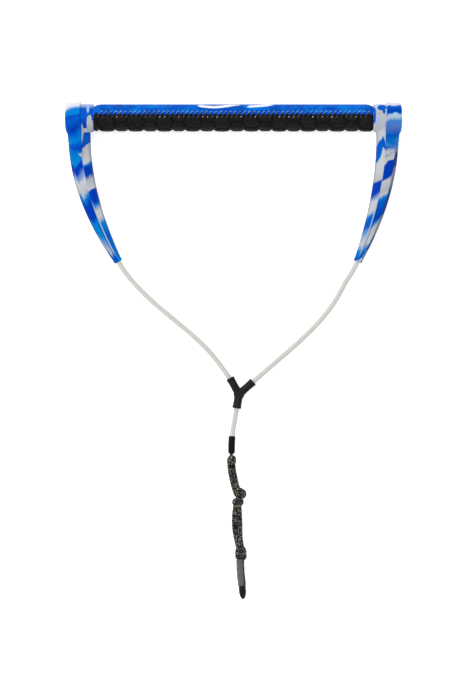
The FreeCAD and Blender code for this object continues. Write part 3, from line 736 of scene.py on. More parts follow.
def makeTip():
    top = Vector(tail["end"]) * mm
    way = (Vector(tail["end"]) - Vector(tail["top"])).normalized()
    profile = []
    for i in range(28):
        s = i / 27
        if s < 0.08:
            r = 0.88 + 0.12 * (s / 0.08)
        else:
            r = max(0.02, 1 - ((s - 0.08) / 0.92) ** 3.2) ** 0.62
        profile.append((s * tail["tipLength"], tail["tipRadius"] * r))

    def twoRidges(w, along):
        s = along / tail["tipLength"]
        deep = 0.10 * min(1, max(0, 1.15 - s))
        wrinkle = 0.018 * math.sin(9 * w + 900 * along) + 0.014 * math.sin(5 * w - 1700 * along)
        return 1 - deep * (0.5 + 0.5 * math.cos(2 * w - 0.4 + 60 * along)) + wrinkle
    points, faces = latheParts(profile, top, way, 44, twoRidges)
    piece = newPiece("dippedTip", points, faces)
    finish = blackRubberFinish("dippedRubber", 0.24, 0.14)
    return settle(piece, finish, "dipped_tip", "pigtail")


makeWhipping()
makeTip()
print("stage: whipping and tip")

# junction, shrink sleeve and eye
junction = dict(
    middle=(6.2, -240.7, 4.7),
    legs=[(28.7, 21.3, 4.6, 0.0), (-48.4, 21.8, 4.6, 0.0), (170.4, 16.2, 4.9, 0.0)],
    halfHigh=4.7,
    rimStep=0.32,
    voxel=0.42 * mm,
)


def roundedLeg(angle, length, halfWide, extra):
    # A leg with a rounded box section, narrowest in its middle, and a bead at its mouth
    turn = math.radians(angle)
    way = Vector((-math.sin(turn), math.cos(turn), 0))
    across = Vector((way.y, -way.x, 0))
    middle = Vector(junction["middle"])
    stations = [-2.0, 2, 5, 8, 11, 14, 17, length - 2.6, length - 2.1, length - 1.5, length - 0.5, length]
    stations = sorted({round(s, 2) for s in stations if s <= length})
    ring = 36
    points = []
    for s in stations:
        waist = 1 - 0.045 * math.exp(-((s - length * 0.5) / (length * 0.3)) ** 2)
        bead = junction["rimStep"] if length - 2.2 < s < length - 0.2 else 0.0
        wide = halfWide * waist + bead
        high = junction["halfHigh"] * (0.93 + 0.02 * math.cos(s)) + bead * 0.5
        for i in range(ring):
            w = 2 * math.pi * i / ring
            c, d = math.cos(w), math.sin(w)
            x = math.copysign(abs(c) ** 0.55, c) * wide
            z = math.copysign(abs(d) ** 0.55, d) * min(high, junction["halfHigh"])
            points.append((middle + way * s + across * x + Vector((0, 0, z))) * mm)
    return points, tubeFaces(len(stations), ring)


def makeJunction():
    legs = [roundedLeg(*leg) for leg in junction["legs"]]
    profile = [(-4.3 * mm, 4.9 * mm), (-3.4 * mm, 6.1 * mm), (3.4 * mm, 6.1 * mm), (4.3 * mm, 4.9 * mm)]
    hub = latheParts(profile, Vector(junction["middle"]) * mm, (0, 0, 1), 40)
    points, faces = joinParts(legs + [hub])
    piece = newPiece("ropeJunction", points, faces)
    rebuilt(piece, junction["voxel"], 7)
    finish = blackRubberFinish("junctionRubber", 0.36, 0.14)
    return settle(piece, finish, "y_connector", "bridle")


def makeSleeve():
    top = Vector(leadInfo["sleeveTop"]) * mm
    end = Vector(leadInfo["sleeveEnd"]) * mm
    length = (end - top).length
    profile = []
    for i in range(40):
        s = i / 39
        r = 3.85 + 0.08 * math.sin(s * 17) * math.exp(-s * 2)
        if s < 0.05:
            r = 3.5 + 0.35 * (s / 0.05) ** 0.5
        if s > 0.90:
            t = (s - 0.90) / 0.10
            r = 3.85 - 1.45 * t * t * (3 - 2 * t)
        profile.append((s * length, r * mm))

    def shrunk(w, along):
        s = along / length
        return 1 + 0.02 * math.sin(3 * w + 500 * along) + 0.035 * max(0, s - 0.7) * math.sin(7 * w)
    points, faces = latheParts(profile, top, end - top, 36, shrunk)
    points = [(x, y, max(z, 0.1 * mm)) for x, y, z in points]
    piece = newPiece("shrinkSleeve", points, faces)
    return settle(piece, blackRubberFinish("shrinkTube", 0.4, 0.05), "lead_sleeve", "bridle")


def makeEye():
    # A thin doubled line out of the sleeve, ending in a small eye
    hinge = np.array(leadInfo["hinge"])
    around = np.linspace(0.28, 2 * math.pi - 0.28, 22)
    eye = [hinge + 3.4 * np.array((math.sin(w), math.cos(w), 0)) for w in around]
    neck = np.array(leadInfo["sleeveEnd"]) + (0.15, 3.0, -0.1)
    line = [neck + (0.75, 0, 0)] + eye + [neck - (0.75, 0, 0)]
    points, faces = tubeParts(smoothLoop(line), 0.95 * mm, ring=10)
    piece = newPiece("leadEye", points, faces)
    f = Finish("darkLine", (0.02, 0.02, 0.02), 0.6)
    f.colour(f.mix(f.spread(f.noise(1800, 2), 0.4, 0.6), (0.01, 0.01, 0.01), (0.06, 0.058, 0.055)))
    f.bump(f.noise(3000, 2), 0.0001, 0.8)
    return settle(piece, f.material, "lead_eye", "bridle")


makeJunction()
makeSleeve()
makeEye()
print("stage: junction, sleeve and eye")

# arms: soft moulded guards, drawn in the bar's own axes and then laid down with it
arm = dict(
    root=175.0, reach=163.4, straight=25.0, bendPower=1.85, taperPower=1.8,
    bend={"left": 43.6, "right": 33.4},
    rootWide=25.0, tipWide=9.0, rootHigh=21.0, tipHigh=9.2,
    facets=[(1.0, 0.26), (0.72, 0.64), (-0.19, 1.0), (-0.79, 0.68), (-1.0, 0.24)],
    ridge=-0.19,
    voxel=0.6 * mm,
)


def armShape(sideName, share):
    # inward lean, slope, half width and half height (mm) at a share of the reach
    straight = arm["straight"] / arm["reach"]
    way = np.clip((np.asarray(share, float) - straight) / (1 - straight), 0, 1)
    bend = arm["bend"][sideName]
    centre = arm["root"] - bend * way ** arm["bendPower"]
    slope = bend * arm["bendPower"] * way ** (arm["bendPower"] - 1) / (arm["reach"] - arm["straight"])
    full = 1 - way ** arm["taperPower"]
    halfWide = (arm["tipWide"] + (arm["rootWide"] - arm["tipWide"]) * full) / 2
    halfHigh = (arm["tipHigh"] + (arm["rootHigh"] - arm["tipHigh"]) * full) / 2
    return centre, slope, halfWide, halfHigh


def fairing(away, height, spread):
    # extra height where the arm runs out of the round part about the bar, both in mm
    return height * math.exp(-((away - 4.5) / spread) ** 2)


def roundedOutline(corners, rounding):
    # the outline with each corner cut back and curved, with points along its sides too
    outline = []
    count = len(corners)
    for i in range(count):
        before, here, after = (np.array(corners[(i + k) % count], float) for k in (-1, 0, 1))
        inward = before - here
        outward = after - here
        cut = min(rounding, 0.35 * np.linalg.norm(inward), 0.35 * np.linalg.norm(outward))
        a = here + inward / np.linalg.norm(inward) * cut
        b = here + outward / np.linalg.norm(outward) * cut
        for t in (0, 0.33, 0.67, 1):
            outline.append((1 - t) ** 2 * a + 2 * t * (1 - t) * here + t * t * b)
        nextCut = after - outward / np.linalg.norm(outward) * cut
        for t in (0.25, 0.5, 0.75):
            outline.append(b + (nextCut - b) * t)
    return outline


def armLoft(sideName, side, facets, shares, grow=0.0, rounding=0.9, bead=0.0):
    lower = [(x, -z) for x, z in reversed(facets)]
    points = []
    for share in shares:
        centre, slope, halfWide, halfHigh = armShape(sideName, share)
        extra = grow
        if bead and share > 0.982:
            extra += bead * math.sin(min(1, (share - 0.982) / 0.018) * math.pi * 0.9)
        turn = math.atan(slope)
        tall = halfHigh + extra + fairing(arm["reach"] * share, 3.9, 9.0)
        corners = [(x * (halfWide + extra), z * tall) for x, z in facets + lower]
        for x, z in roundedOutline(corners, rounding):
            groove = 0.0
            if share > 0.5 and z > 0 and not grow:
                # a shallow groove beside the ridge that deepens towards the tip
                spot = x / halfWide - arm["ridge"] - 0.27
                groove = 0.16 * halfHigh * min(1, (share - 0.5) / 0.2) * math.exp(-(spot / 0.15) ** 2)
                groove *= min(1, (1.0 - share) / 0.06 + 0.15)
            points.append((
                side * (centre + x * math.cos(turn)),
                -arm["reach"] * share - x * math.sin(turn),
                z - groove,
            ))
    ring = len(points) // len(shares)
    return [tuple(c * mm for c in p) for p in points], tubeFaces(len(shares), ring)


def swirlNumbers(piece, sideName, side):
    # distance from the bar's axis and from the arm's ridge, in mm, for the moulded swirl and, on the arms,
    # for the painted shade along the ridge and the side faces
    points = meshPoints(piece) / mm
    away = -points[:, 1]
    share = away / arm["reach"]
    centre, slope, halfWide, halfHigh = armShape(sideName, share)
    ridge = side * (centre + arm["ridge"] * halfWide)
    addNumbers(piece, "along", away)
    addNumbers(piece, "across", points[:, 0] - ridge)
    addNumbers(piece, "outer", side * (points[:, 0] - ridge))
    addNumbers(piece, "rim", side * (points[:, 0] - side * centre) / halfWide)
    addNumbers(piece, "far", np.abs(points[:, 0]))


def layDown(piece):
    piece.data.transform(handleMatrix)
    piece.data.update()


# white rubber, and the same white with painted shade
white = offWhite
whiteInShade = shadeWhite
armStops = {
    "left": dict(
        inner=[(0, deepBlue), (31, midBlue), (33, deepBlue), (33.6, whiteInShade), (52, white), (55, cyanBlue),
               (58, deepBlue), (67, deepBlue), (73, shadeWhite), (83, white), (84.5, deepBlue),
               (98, deepBlue),
               (101, cyanBlue), (107, white), (115, white), (121, cyanBlue), (135, midBlue), (162, cyanBlue)],
        outer=[(0, deepBlue), (40, cyanBlue), (45, cyanBlue), (48, deepBlue), (55, deepBlue), (63, lavender),
               (67, white), (80, whiteInShade), (85, cyanBlue), (92, deepBlue), (110, deepBlue), (116, cyanBlue),
               (130, cyanBlue), (143, lavender), (150, whiteInShade), (155, midBlue), (162, midBlue)],
        slant=0.57, outerSlant=1.1,
    ),
    "right": dict(
        inner=[(0, white), (45, white), (58, white), (69, whiteInShade), (70.5, deepBlue), (84, deepBlue),
               (89, lavender), (93, white), (105, white), (110, cyanBlue), (114, midBlue),
               (123, midBlue), (131, lavender), (142, white), (149, cyanBlue), (160, midBlue),
               (161.5, white)],
        outer=[(0, white), (36, lavender), (40, whiteInShade), (52.5, white), (53.2, deepBlue), (70, deepBlue),
               (73.5, white), (86, whiteInShade), (90, white), (94, cyanBlue), (99, midBlue), (118, deepBlue),
               (123, cyanBlue),
               (127, whiteInShade), (144, white), (150, cyanBlue), (161, midBlue), (162, white)],
        slant=0.57, outerSlant=0.75,
    ),
}


def rubberBase(name):
    f = Finish(name, midBlue, 0.34)
    along = f.number("along")
    wander = f.sum("MULTIPLY", f.sum("SUBTRACT", f.noise(42, 2, 0.5, 0.6), 0.5), 11.0)
    streak = f.noise(150, 3, 0.6, 0.4, f.stretched((1, 0.22, 1)))
    fine = f.sum("MULTIPLY", f.sum("SUBTRACT", streak, 0.5), 5.0)
    moved = f.sum("ADD", f.sum("ADD", along, wander), fine)
    f.bump(f.noise(700, 3, 0.55), 0.00007, 0.35)
    f.roughness(f.noise(90, 3), 0.30, 0.42)
    f.set(Specular_IOR_Level=0.02)
    return f, moved


def banded(f, value, stops, longest=165.0):
    return f.ramp(f.sum("DIVIDE", value, longest, clamp=True), [(max(0, s / longest), c) for s, c in stops])


def armFinish(sideName):
    f, moved = rubberBase("swirlArm_" + sideName)
    stops = armStops[sideName]
    tilted = f.sum("ADD", moved, f.sum("MULTIPLY", f.number("across"), stops["slant"]))
    rim = f.spread(f.number("rim"), 0.66, 0.78)
    steeper = f.sum("ADD", moved, f.sum("MULTIPLY", f.number("across"), stops["outerSlant"]))
    shifted = f.sum("ADD", steeper, f.sum("MULTIPLY", rim, 7.0))
    inner = banded(f, tilted, stops["inner"])
    outer = banded(f, shifted, stops["outer"])
    both = f.mix(f.spread(f.number("outer"), -0.3, 0.5), inner, outer)
    fromRidge = f.number("outer")
    nearTip = f.spread(f.number("along"), 92, 104)
    strength = 0.85 if sideName == "left" else 0.5
    # painted shade of the groove beside the ridge: a dark line just outside it towards the tip, stronger on
    # the left arm
    dark = f.spread(f.sum("ABSOLUTE", f.sum("SUBTRACT", fromRidge, 1.35), 0), 0.8, 0.35, 0, strength)
    both = f.mix(f.sum("MULTIPLY", dark, nearTip), both, (0.0, 0.022, 0.24))
    pale = f.spread(f.sum("ABSOLUTE", f.sum("ADD", fromRidge, 0.05), 0), 0.95, 0.4, 0, 0.85)
    fade = f.spread(f.number("along"), 158, 150)
    both = f.mix(f.sum("MULTIPLY", f.sum("MULTIPLY", pale, nearTip), fade), both, (0.44, 0.49, 0.57))
    # the collar round the bar has its own patches
    far = f.number("far")
    along = f.number("along")

    def patch(farAt, alongAt, farHalf, alongHalf, soft=0.25, lean=0.0):
        leaning = f.sum("MULTIPLY", f.sum("SUBTRACT", along, alongAt), lean)
        offset = f.sum("SUBTRACT", f.sum("ADD", far, leaning), farAt)
        a = f.sum("POWER", f.sum("DIVIDE", offset, farHalf), 2.0)
        b = f.sum("POWER", f.sum("DIVIDE", f.sum("SUBTRACT", along, alongAt), alongHalf), 2.0)
        wobble = f.sum("MULTIPLY", f.sum("SUBTRACT", f.noise(110, 2, 0.5, 0.8), 0.5), 1.3)
        return f.spread(f.sum("ADD", f.sum("ADD", a, b), wobble), 1 + soft, 1 - soft)
    if sideName == "left":
        collar = f.ramp(f.spread(along, -16, 16), [(0, (0.42, 0.50, 0.76)), (0.10, lavender), (0.17, midBlue),
                                                    (0.5, midBlue), (0.75, deepBlue), (1, deepBlue)])
        collar = f.mix(patch(164.5, -10.5, 1.6, 4.5, 0.6), collar, (0.35, 0.43, 0.76))
        whites = [(162.4, 7.5, 3.9, 9.5, 0.12, 0.0), (168.6, 14.0, 5.2, 2.4, 0.3, 0.3),
                  (171.6, 17.5, 1.7, 10.5, 0.4, -0.05)]
        strip = (158.6, -2.5, 1.9, 7.0, 0.12)
    else:
        collar = f.ramp(f.spread(along, -16, 16), [(0, (0.52, 0.57, 0.72)), (0.3, shadeWhite), (1, white)])
        collar = f.mix(patch(167.5, -11.5, 5.0, 3.2, 0.15), collar, midBlue)
        collar = f.mix(patch(170.0, -8.0, 1.7, 3.6, 0.15), collar, midBlue)
        whites = []
        strip = (159.2, -3.5, 1.7, 9.5, 0.2)
        both = f.mix(patch(164.9, 38.0, 3.5, 15.0, 0.2, 0.23), both, cyanBlue)
        both = f.mix(patch(164.3, 37.5, 3.0, 13.5, 0.15, 0.23), both, midBlue)
        both = f.mix(patch(170.2, 28.0, 1.6, 7.0, 0.25, -0.15), both, midBlue)
        collar = f.mix(patch(163.5, 3.0, 3.0, 5.0, 0.8), collar, (0.38, 0.46, 0.66))
    # painted shade on the arms' steep side faces: darker towards the outer rim, and along the inner wall
    onRight = sideName == "right"
    edgeFrom, edgeTo, edgeStrength = (0.60, 0.82, 0.68) if onRight else (0.80, 1.02, 0.45)
    edge = f.spread(f.number("rim"), edgeFrom, edgeTo, 0, edgeStrength)
    innerWallShade = f.spread(f.number("rim"), -0.84, -1.02, 0, 0.55)
    both = f.mix(edge, both, (0.03, 0.04, 0.065))
    both = f.mix(innerWallShade, both, (0.04, 0.06, 0.12))
    colour = f.mix(f.spread(along, 18.2, 15.6), both, collar)
    for spot in whites:
        colour = f.mix(patch(*spot), colour, whiteInShade)
    f.colour(f.mix(patch(*strip), colour, (0.0, 0.08, 0.60)))
    return f.material


def makeArm(sideName, side):
    shares = list(np.linspace(0.02, 0.975, 76)) + [0.98, 0.983, 0.987, 0.991, 0.996, 1.0]
    loft = armLoft(sideName, side, arm["facets"], shares, rounding=0.8, bead=0.45)
    collar = latheParts(
        [(158.5 * mm, 15.2 * mm), (159.3 * mm, 15.9 * mm), (160.4 * mm, 16.05 * mm), (169 * mm, 16.0 * mm),
         (185.9 * mm, 16.0 * mm)], (0, 0, 0), (side, 0, 0), 72)
    points, faces = joinParts([loft, collar])
    piece = newPiece("armGuard_" + sideName, points, faces)
    rebuilt(piece, arm["voxel"], 3, 0.5, fair=(15.0, 9.0, 24))
    swirlNumbers(piece, sideName, side)
    layDown(piece)
    return settle(piece, armFinish(sideName), "arm_guard_" + sideName, "handle")


cap = dict(
    mouth=173.3, face=190.5, radius=18.0,
    wall=1.35,
    sideReach=27.0, ridgeReach=44.0,
    voxel=0.55 * mm,
)


def capEdge(across):
    # how far down the arm the cap's tongue reaches, from its outer edge to the ridge
    t = min(1, max(0, (1 - across) / (1 - arm["ridge"])))
    return cap["sideReach"] + (cap["ridgeReach"] - cap["sideReach"]) * t ** 0.62


def capTongue(sideName, side):
    upper = arm["facets"][:3]
    corners = []
    for (x1, z1), (x2, z2) in zip(upper, upper[1:]):
        corners.extend((x1 + (x2 - x1) * t, z1 + (z2 - z1) * t) for t in np.linspace(0, 1, 9)[:-1])
    corners.append(upper[-1])
    corners = corners + [(x, -z) for x, z in reversed(corners)]
    rows = 22
    points = []
    for r in range(rows):
        v = r / (rows - 1)
        for x, z in corners:
            away = 5.0 + (capEdge(x) - 5.0) * v
            centre, slope, halfWide, halfHigh = armShape(sideName, away / arm["reach"])
            lip = 0.3 * math.exp(-((1 - v) / 0.035) ** 2)
            wall = cap["wall"] + lip
            aside = wall * (1 - 0.75 * v) + fairing(away, 1.9, 11.0)
            tall = halfHigh + wall + fairing(away, 4.8, 9.5)
            points.append((side * (centre + x * (halfWide + aside)) * mm, -away * mm, z * tall * mm))
    ring = len(corners)
    faces = gridFaces(rows, ring)
    faces.append(tuple(range(ring)))
    middle = len(points)
    last = points[-ring:]
    points.append(tuple(np.mean(np.array(last), axis=0)))
    base = middle - ring
    faces.extend((base + (i + 1) % ring, base + i, middle) for i in range(ring))
    return points, faces


def capBead(sideName, side):
    # the raised line round the tongue's edge, up the ridge and round the cup's mouth
    line = []
    for x in np.linspace(0.94, arm["ridge"], 22):
        away = capEdge(x)
        centre, slope, halfWide, halfHigh = armShape(sideName, away / arm["reach"])
        z = np.interp(-x, [-1.0, -0.70, 0.19], [0.26, 0.66, 1.0])
        line.append((side * (centre + x * (halfWide + 0.6)), -away, z * (halfHigh + 1.1)))
    for away in np.linspace(cap["ridgeReach"] - 2, 8.0, 18):
        centre, slope, halfWide, halfHigh = armShape(sideName, away / arm["reach"])
        tall = halfHigh + cap["wall"] + fairing(away, 4.8, 9.5)
        line.append((side * (centre + arm["ridge"] * halfWide), -away, tall))
    return tubeParts(np.array(line) * mm, 0.7 * mm, ring=10)


def makeCap(sideName, side):
    r = cap["radius"]
    profile = [(cap["mouth"], r - 1.6), (cap["mouth"] + 0.1, r - 0.25), (cap["mouth"] + 0.9, r + 0.15),
               (cap["mouth"] + 2.0, r), (cap["mouth"] + 2.9, r - 0.15), (cap["mouth"] + 4.0, r - 0.05)]
    profile += [(188.0 - 3.0, r - 0.05)]
    for w in np.linspace(0, 90, 9):
        turn = math.radians(w)
        profile.append((cap["face"] - 3.6 + 3.6 * math.sin(turn), r - 0.1 - 3.6 * (1 - math.cos(turn))))
    profile.append((cap["face"] - 0.4, 6.0))
    profile.append((cap["face"] - 0.5, 0.3))
    cup = latheParts([(a * mm, b * mm) for a, b in profile], (0, 0, 0), (side, 0, 0), 96)
    nub = tubeParts(np.array([(side * (cap["mouth"] + d), r + h, 1.5) for d, h in
                              ((-0.2, -1.5), (0.7, -0.4), (1.3, 0.5), (1.7, 1.0))]) * mm, 0.95 * mm, ring=12)
    points, faces = joinParts([cup, capTongue(sideName, side), capBead(sideName, side), nub])
    piece = newPiece("endCap_" + sideName, points, faces)
    rebuilt(piece, cap["voxel"], 3, 0.5, fair=(17.0, 9.0, 24))
    swirlNumbers(piece, sideName, side)
    layDown(piece)
    return settle(piece, capFinish(sideName), "end_cap_" + sideName, "handle")


def capFinish(sideName):
    f, moved = rubberBase("swirlCap_" + sideName)
    far = f.number("far")
    slant = 0.37 if sideName == "left" else 0.10
    right = f.sum("MULTIPLY", f.sum("SUBTRACT", far, 182.0), -slant if sideName == "left" else slant)
    value = f.sum("ADD", f.sum("ADD", moved, right), 20.0)
    deep = (0.0, 0.065, 0.50)
    if sideName == "left":
        stops = [(0, (0.72, 0.73, 0.76)), (8.5, (0.66, 0.68, 0.73)), (12, (0.08, 0.26, 0.64)), (14, cyanBlue),
                 (18.6, cyanBlue), (19.2, deep), (26, midBlue), (34, deepBlue), (40, midBlue), (46, cyanBlue),
                 (50, midBlue), (56, deepBlue), (61, midBlue), (63.0, lavender), (65, shadeWhite)]
    else:
        stops = [(0, (0.72, 0.73, 0.76)), (5.2, (0.60, 0.63, 0.74)), (7.2, midBlue), (15.2, deepBlue),
                 (16.6, cyanBlue), (17.6, (0.42, 0.52, 0.60)), (20.5, (0.33, 0.46, 0.58)),
                 (24, (0.05, 0.20, 0.55)), (30, (0.07, 0.17, 0.50)), (38, midBlue), (47,
                 (0.0, 0.16, 0.50)), (54, midBlue),
                 (57, (0.33, 0.40, 0.60)), (59, white), (65, lavender)]
    colour = banded(f, value, stops, 66.0)
    marble = f.noise(60, 3, 0.55, 1.4)
    wash = f.sum("MULTIPLY", f.spread(marble, 0.50, 0.66, 0, 0.55, True), f.spread(f.number("along"), 0, 8))
    colour = f.mix(wash, colour, (0.0, 0.19, 0.56) if sideName == "left" else (0.08, 0.25, 0.56))
    f.colour(colour)
    return f.material


for sideName, side in sides:
    makeArm(sideName, side)
    makeCap(sideName, side)
print("stage: arms and end caps")

# grip: a printed foam cover on the far side, a moulded pad on the rope side, whip-stitched together
grip = dict(
    half=158.3, radius=15.5, inner=12.8, seam=74.0,
    cellSide=10.9, cellDeep=1.15, cellMiddle=140.0,
    stitch=5.4, lobeDeep=1.5, slant=0.72,
    endRound=2.6,
)
lobeEnd = grip["seam"] + 4.6      # the lobes lap this far over the pad
seamArc = math.radians(lobeEnd) * grip["radius"]


def endDip(x, coverSide):
    # how far the foam draws in near its two ends
    left = grip["half"] - abs(x)
    if coverSide:
        return 2.7 * max(0, 1 - left / 7.5) ** 1.8
    return 1.6 * max(0, 1 - left / grip["endRound"]) ** 2


def stitchPhase(x, reach):
    # place along the row of stitches, 0 and 1 on a slit; the slits lean to the right going up
    return ((x - grip["slant"] * reach) / grip["stitch"]) % 1.0


def hexGap(x, arc):
    # distance from the edge of a six-sided cell, and from its middle
    side = grip["cellSide"]
    column = 1.5 * side
    row = math.sqrt(3) * side
    base = math.floor(x / column)
    nearest = []
    for c in (base - 1, base, base + 1, base + 2):
        shift = row / 2 if c % 2 else 0.0
        middle = math.floor((arc - shift) / row + 0.5)
        for m in (middle - 1, middle, middle + 1):
            nearest.append(math.hypot(x - c * column, arc - shift - m * row))
    nearest.sort()
    return (nearest[1] - nearest[0]) / 2, nearest[0]


def padCell(x, angle):
    # the cells are a little squat, and their rows wander
    arc = math.radians(angle - grip["cellMiddle"]) * grip["radius"] * 1.16
    return hexGap(x - 3.3 + 0.6 * math.sin(arc * 0.3 + x * 0.05), arc + 0.7 * math.sin(x * 0.11))


def padRadius(x, angle):
    gap, middle = padCell(x, angle)
    silhouette = math.exp(-((angle - 181) / 26) ** 2)
    groove = grip["cellDeep"] * math.exp(-(gap / 0.95) ** 2)
    dome = 0.35 * (middle / grip["cellSide"]) ** 2
    if silhouette > 0.05:       # the cells' ends stand out as scallops along the palm side
        across = padCell(x, 181)[0]
        notch = 1.4 * math.exp(-(across / 1.3) ** 2) + 0.6 * max(0, 1 - across / 8) ** 2
        groove = max(groove, notch * silhouette)
    seamAway = (min(angle - grip["seam"], 360 - grip["seam"] - angle)) * math.pi / 180 * grip["radius"]
    roll = 1.1 * max(0, 1 - seamAway / 1.9) ** 2
    phase = stitchPhase(x, -seamAway) if angle < 180 else stitchPhase(x, seamAway)
    nearStitch = math.exp(-((abs(phase - 0.5) - 0.5) * grip["stitch"] / 0.9) ** 2)
    pucker = 0.55 * nearStitch * max(0, 1 - seamAway / 4.2)
    rough = 0.10 * math.sin(x * 1.9 + angle * 0.21) * math.sin(angle * 0.33 - x * 0.8)
    return grip["radius"] + 0.05 - groove - dome - roll - pucker + rough - endDip(x, False)


def slitDepth(x, reach):
    # 1 in the middle of a slit between two lobes of the cover, fading out away from the seam
    phase = stitchPhase(x, reach)
    aside = abs((phase + 0.5) % 1.0 - 0.5) * grip["stitch"]
    wide = 1.6 * max(0.26, 1 - reach / 3.8) ** 0.9
    return math.exp(-(aside / wide) ** 2) * min(1, max(0, (4.6 - reach) / 2.2))


def coverRadius(x, angle):
    reach = seamArc - math.radians(abs(angle)) * grip["radius"]
    slit = slitDepth(x, reach)
    lobe = 0.5 * math.sin(math.pi * stitchPhase(x, reach)) * max(0, 1 - reach / 4.5)
    roll = 0.9 * max(0, 1 - reach / 1.4) ** 2
    return grip["radius"] - grip["lobeDeep"] * slit + lobe * 0.6 - roll - endDip(x, True)


def foamShell(name, low, high, stepX, stepArc, radiusAt):
    xs = np.linspace(-grip["half"], grip["half"], int(2 * grip["half"] / stepX) + 1)
    arcLong = math.radians(high - low) * grip["radius"]
    angles = np.linspace(low, high, int(arcLong / stepArc) + 1)
    innerAngles = np.linspace(high, low, 14)
    points = []
    info = []
    for x in xs:
        for angle in angles:
            r = radiusAt(x, angle)
            w = math.radians(angle)
            points.append((x * mm, r * math.cos(w) * mm, r * math.sin(w) * mm))
            info.append((x, angle))
        for angle in innerAngles:
            w = math.radians(angle)
            points.append((x * mm, grip["inner"] * math.cos(w) * mm, grip["inner"] * math.sin(w) * mm))
            info.append((x, angle))
    ring = len(angles) + len(innerAngles)
    return newPiece(name, points, tubeFaces(len(xs), ring)), info


def padGroove(x, angle):
    # 1 in the grooves between the pad's cells
    gap, middle = padCell(x, angle)
    return math.exp(-(gap / 1.1) ** 2)


def padFinish():
    f = Finish("palmFoam", (0.016, 0.015, 0.014), 0.6)
    tone = f.noise(120, 4, 0.6, 0.5)
    grain = f.noise(1100, 3, 0.6)
    dark = f.mix(f.spread(tone, 0.3, 0.7), (0.005, 0.0042, 0.0036), (0.0125, 0.0108, 0.0093))
    dark = f.mix(f.spread(grain, 0.55, 0.75, 0, 0.5), dark, (0.019, 0.0165, 0.0145))
    # painted shade in the grooves between the cells
    f.colour(f.mix(f.number("groove"), dark, (0.0025, 0.0023, 0.002)))
    f.bump(grain, 0.00016, 0.8)
    f.roughness(tone, 0.5, 0.66)
    f.set(Specular_IOR_Level=0.08)
    return f.material


def coverFinish():
    f = Finish("printedFoam", midBlue, 0.5)
    swirlPlace = f.stretched((0.55, 1.0, 1.0), (0, 0, 0.5))
    big = f.noise(38, 4, 0.55, 2.6, swirlPlace)
    thin = f.noise(75, 5, 0.6, 3.4, swirlPlace)
    base = f.ramp(big, [(0.34, (0.0, 0.050, 0.33)), (0.45, (0.0, 0.075, 0.45)), (0.52, (0.0, 0.090, 0.50)),
                        (0.58, (0.0, 0.12, 0.56)), (0.67, (0.0, 0.19, 0.62))])
    vein = f.spread(f.sum("ABSOLUTE", f.sum("SUBTRACT", thin, 0.55), 0), 0.035, 0.0, 0, 0.6, True)
    base = f.mix(vein, base, (0.01, 0.23, 0.66))
    edge = f.spread(f.number("reach"), 2.2, 3.4, 0.75, 0)
    base = f.mix(edge, base, (0.0, 0.07, 0.56))
    # painted shade: a darker band near the cover's far side, where it curves away out of the light
    line = f.spread(f.sum("ABSOLUTE", f.sum("SUBTRACT", f.number("reach"), 16.6), 0), 0.8, 0.3, 0, 0.55)
    base = f.mix(line, base, (0.0, 0.045, 0.33))
    base = f.mix(f.spread(f.number("print"), 0.40, 0.55), base, (0.80, 0.81, 0.82))
    # the slits between the lobes go near-black: partly the black pad showing through, partly painted shade in
    # the deep slits
    base = f.mix(f.spread(f.number("slit"), 0.16, 0.42), base, (0.006, 0.0055, 0.005))
    f.colour(base)
    f.bump(f.noise(1600, 3, 0.6), 0.00008, 0.5)
    f.roughness(f.noise(200, 3), 0.42, 0.56)
    f.set(Specular_IOR_Level=0.02)
    return f.material


def printMask(x, angle):
    # A plain wave band and a short bar, printed near the cover's far edge
    y = grip["radius"] * math.cos(math.radians(angle))
    if angle < -40:
        return 0.0
    amount = 0.0
    if -41 < x < 8:
        s = (x + 41) / 49
        middle = 13.1 + 1.1 * math.sin(s * 5.6 + 2.6)
        half = 1.25 * min(1, s / 0.08, (1 - s) / 0.3) + 0.1
        amount = max(amount, 0.5 + (half - abs(y - middle)) * 0.9)
    if 15 < x < 46:
        s = (x - 15) / 31
        middle = 12.4 + 2.2 * s
        half = 1.15 * min(1, s / 0.1, (1 - s) / 0.25) + 0.05
        amount = max(amount, 0.5 + (half - abs(y - middle)) * 0.9)
    return min(1, max(0, amount))


def makeGrip():
    pad, info = foamShell("palmPad", grip["seam"] + 1.1, 360 - grip["seam"] - 1.1, 0.85, 0.85, padRadius)
    addNumbers(pad, "groove", [padGroove(x, angle) for x, angle in info])
    layDown(pad)
    settle(pad, padFinish(), "grip_palm_pad", "handle")
    cover, info = foamShell("gripCover", -grip["seam"] - 4.6, grip["seam"] + 4.6, 0.5, 0.5, coverRadius)
    reach = [seamArc - math.radians(abs(angle)) * grip["radius"] for x, angle in info]
    addNumbers(cover, "reach", reach)
    addNumbers(cover, "slit", [slitDepth(x, r) for (x, angle), r in zip(info, reach)])
    addNumbers(cover, "print", [printMask(x, angle) for x, angle in info])
    layDown(cover)
    settle(cover, coverFinish(), "grip_cover", "handle")


def threadFinish():
    f = Finish("seamThread", (0.5, 0.5, 0.55), 0.35)
    # the pale colour is a painted glint on the dark thread
    pale = f.number("pale")
    f.colour(f.mix(pale, (0.006, 0.007, 0.012), (0.72, 0.74, 0.84)))
    f.bump(f.noise(3000, 2), 0.00006, 0.6)
    f.set(Specular_IOR_Level=0.55, Sheen_Weight=0.1)
    return f.material


def onSeam(x, reach, lift, up):
    # A point near the seam: reach is how far over the cover's side it lies
    angle = math.radians(lobeEnd) - reach / grip["radius"]
    r = grip["radius"] + lift
    return (x, r * math.cos(angle), up * r * math.sin(angle))


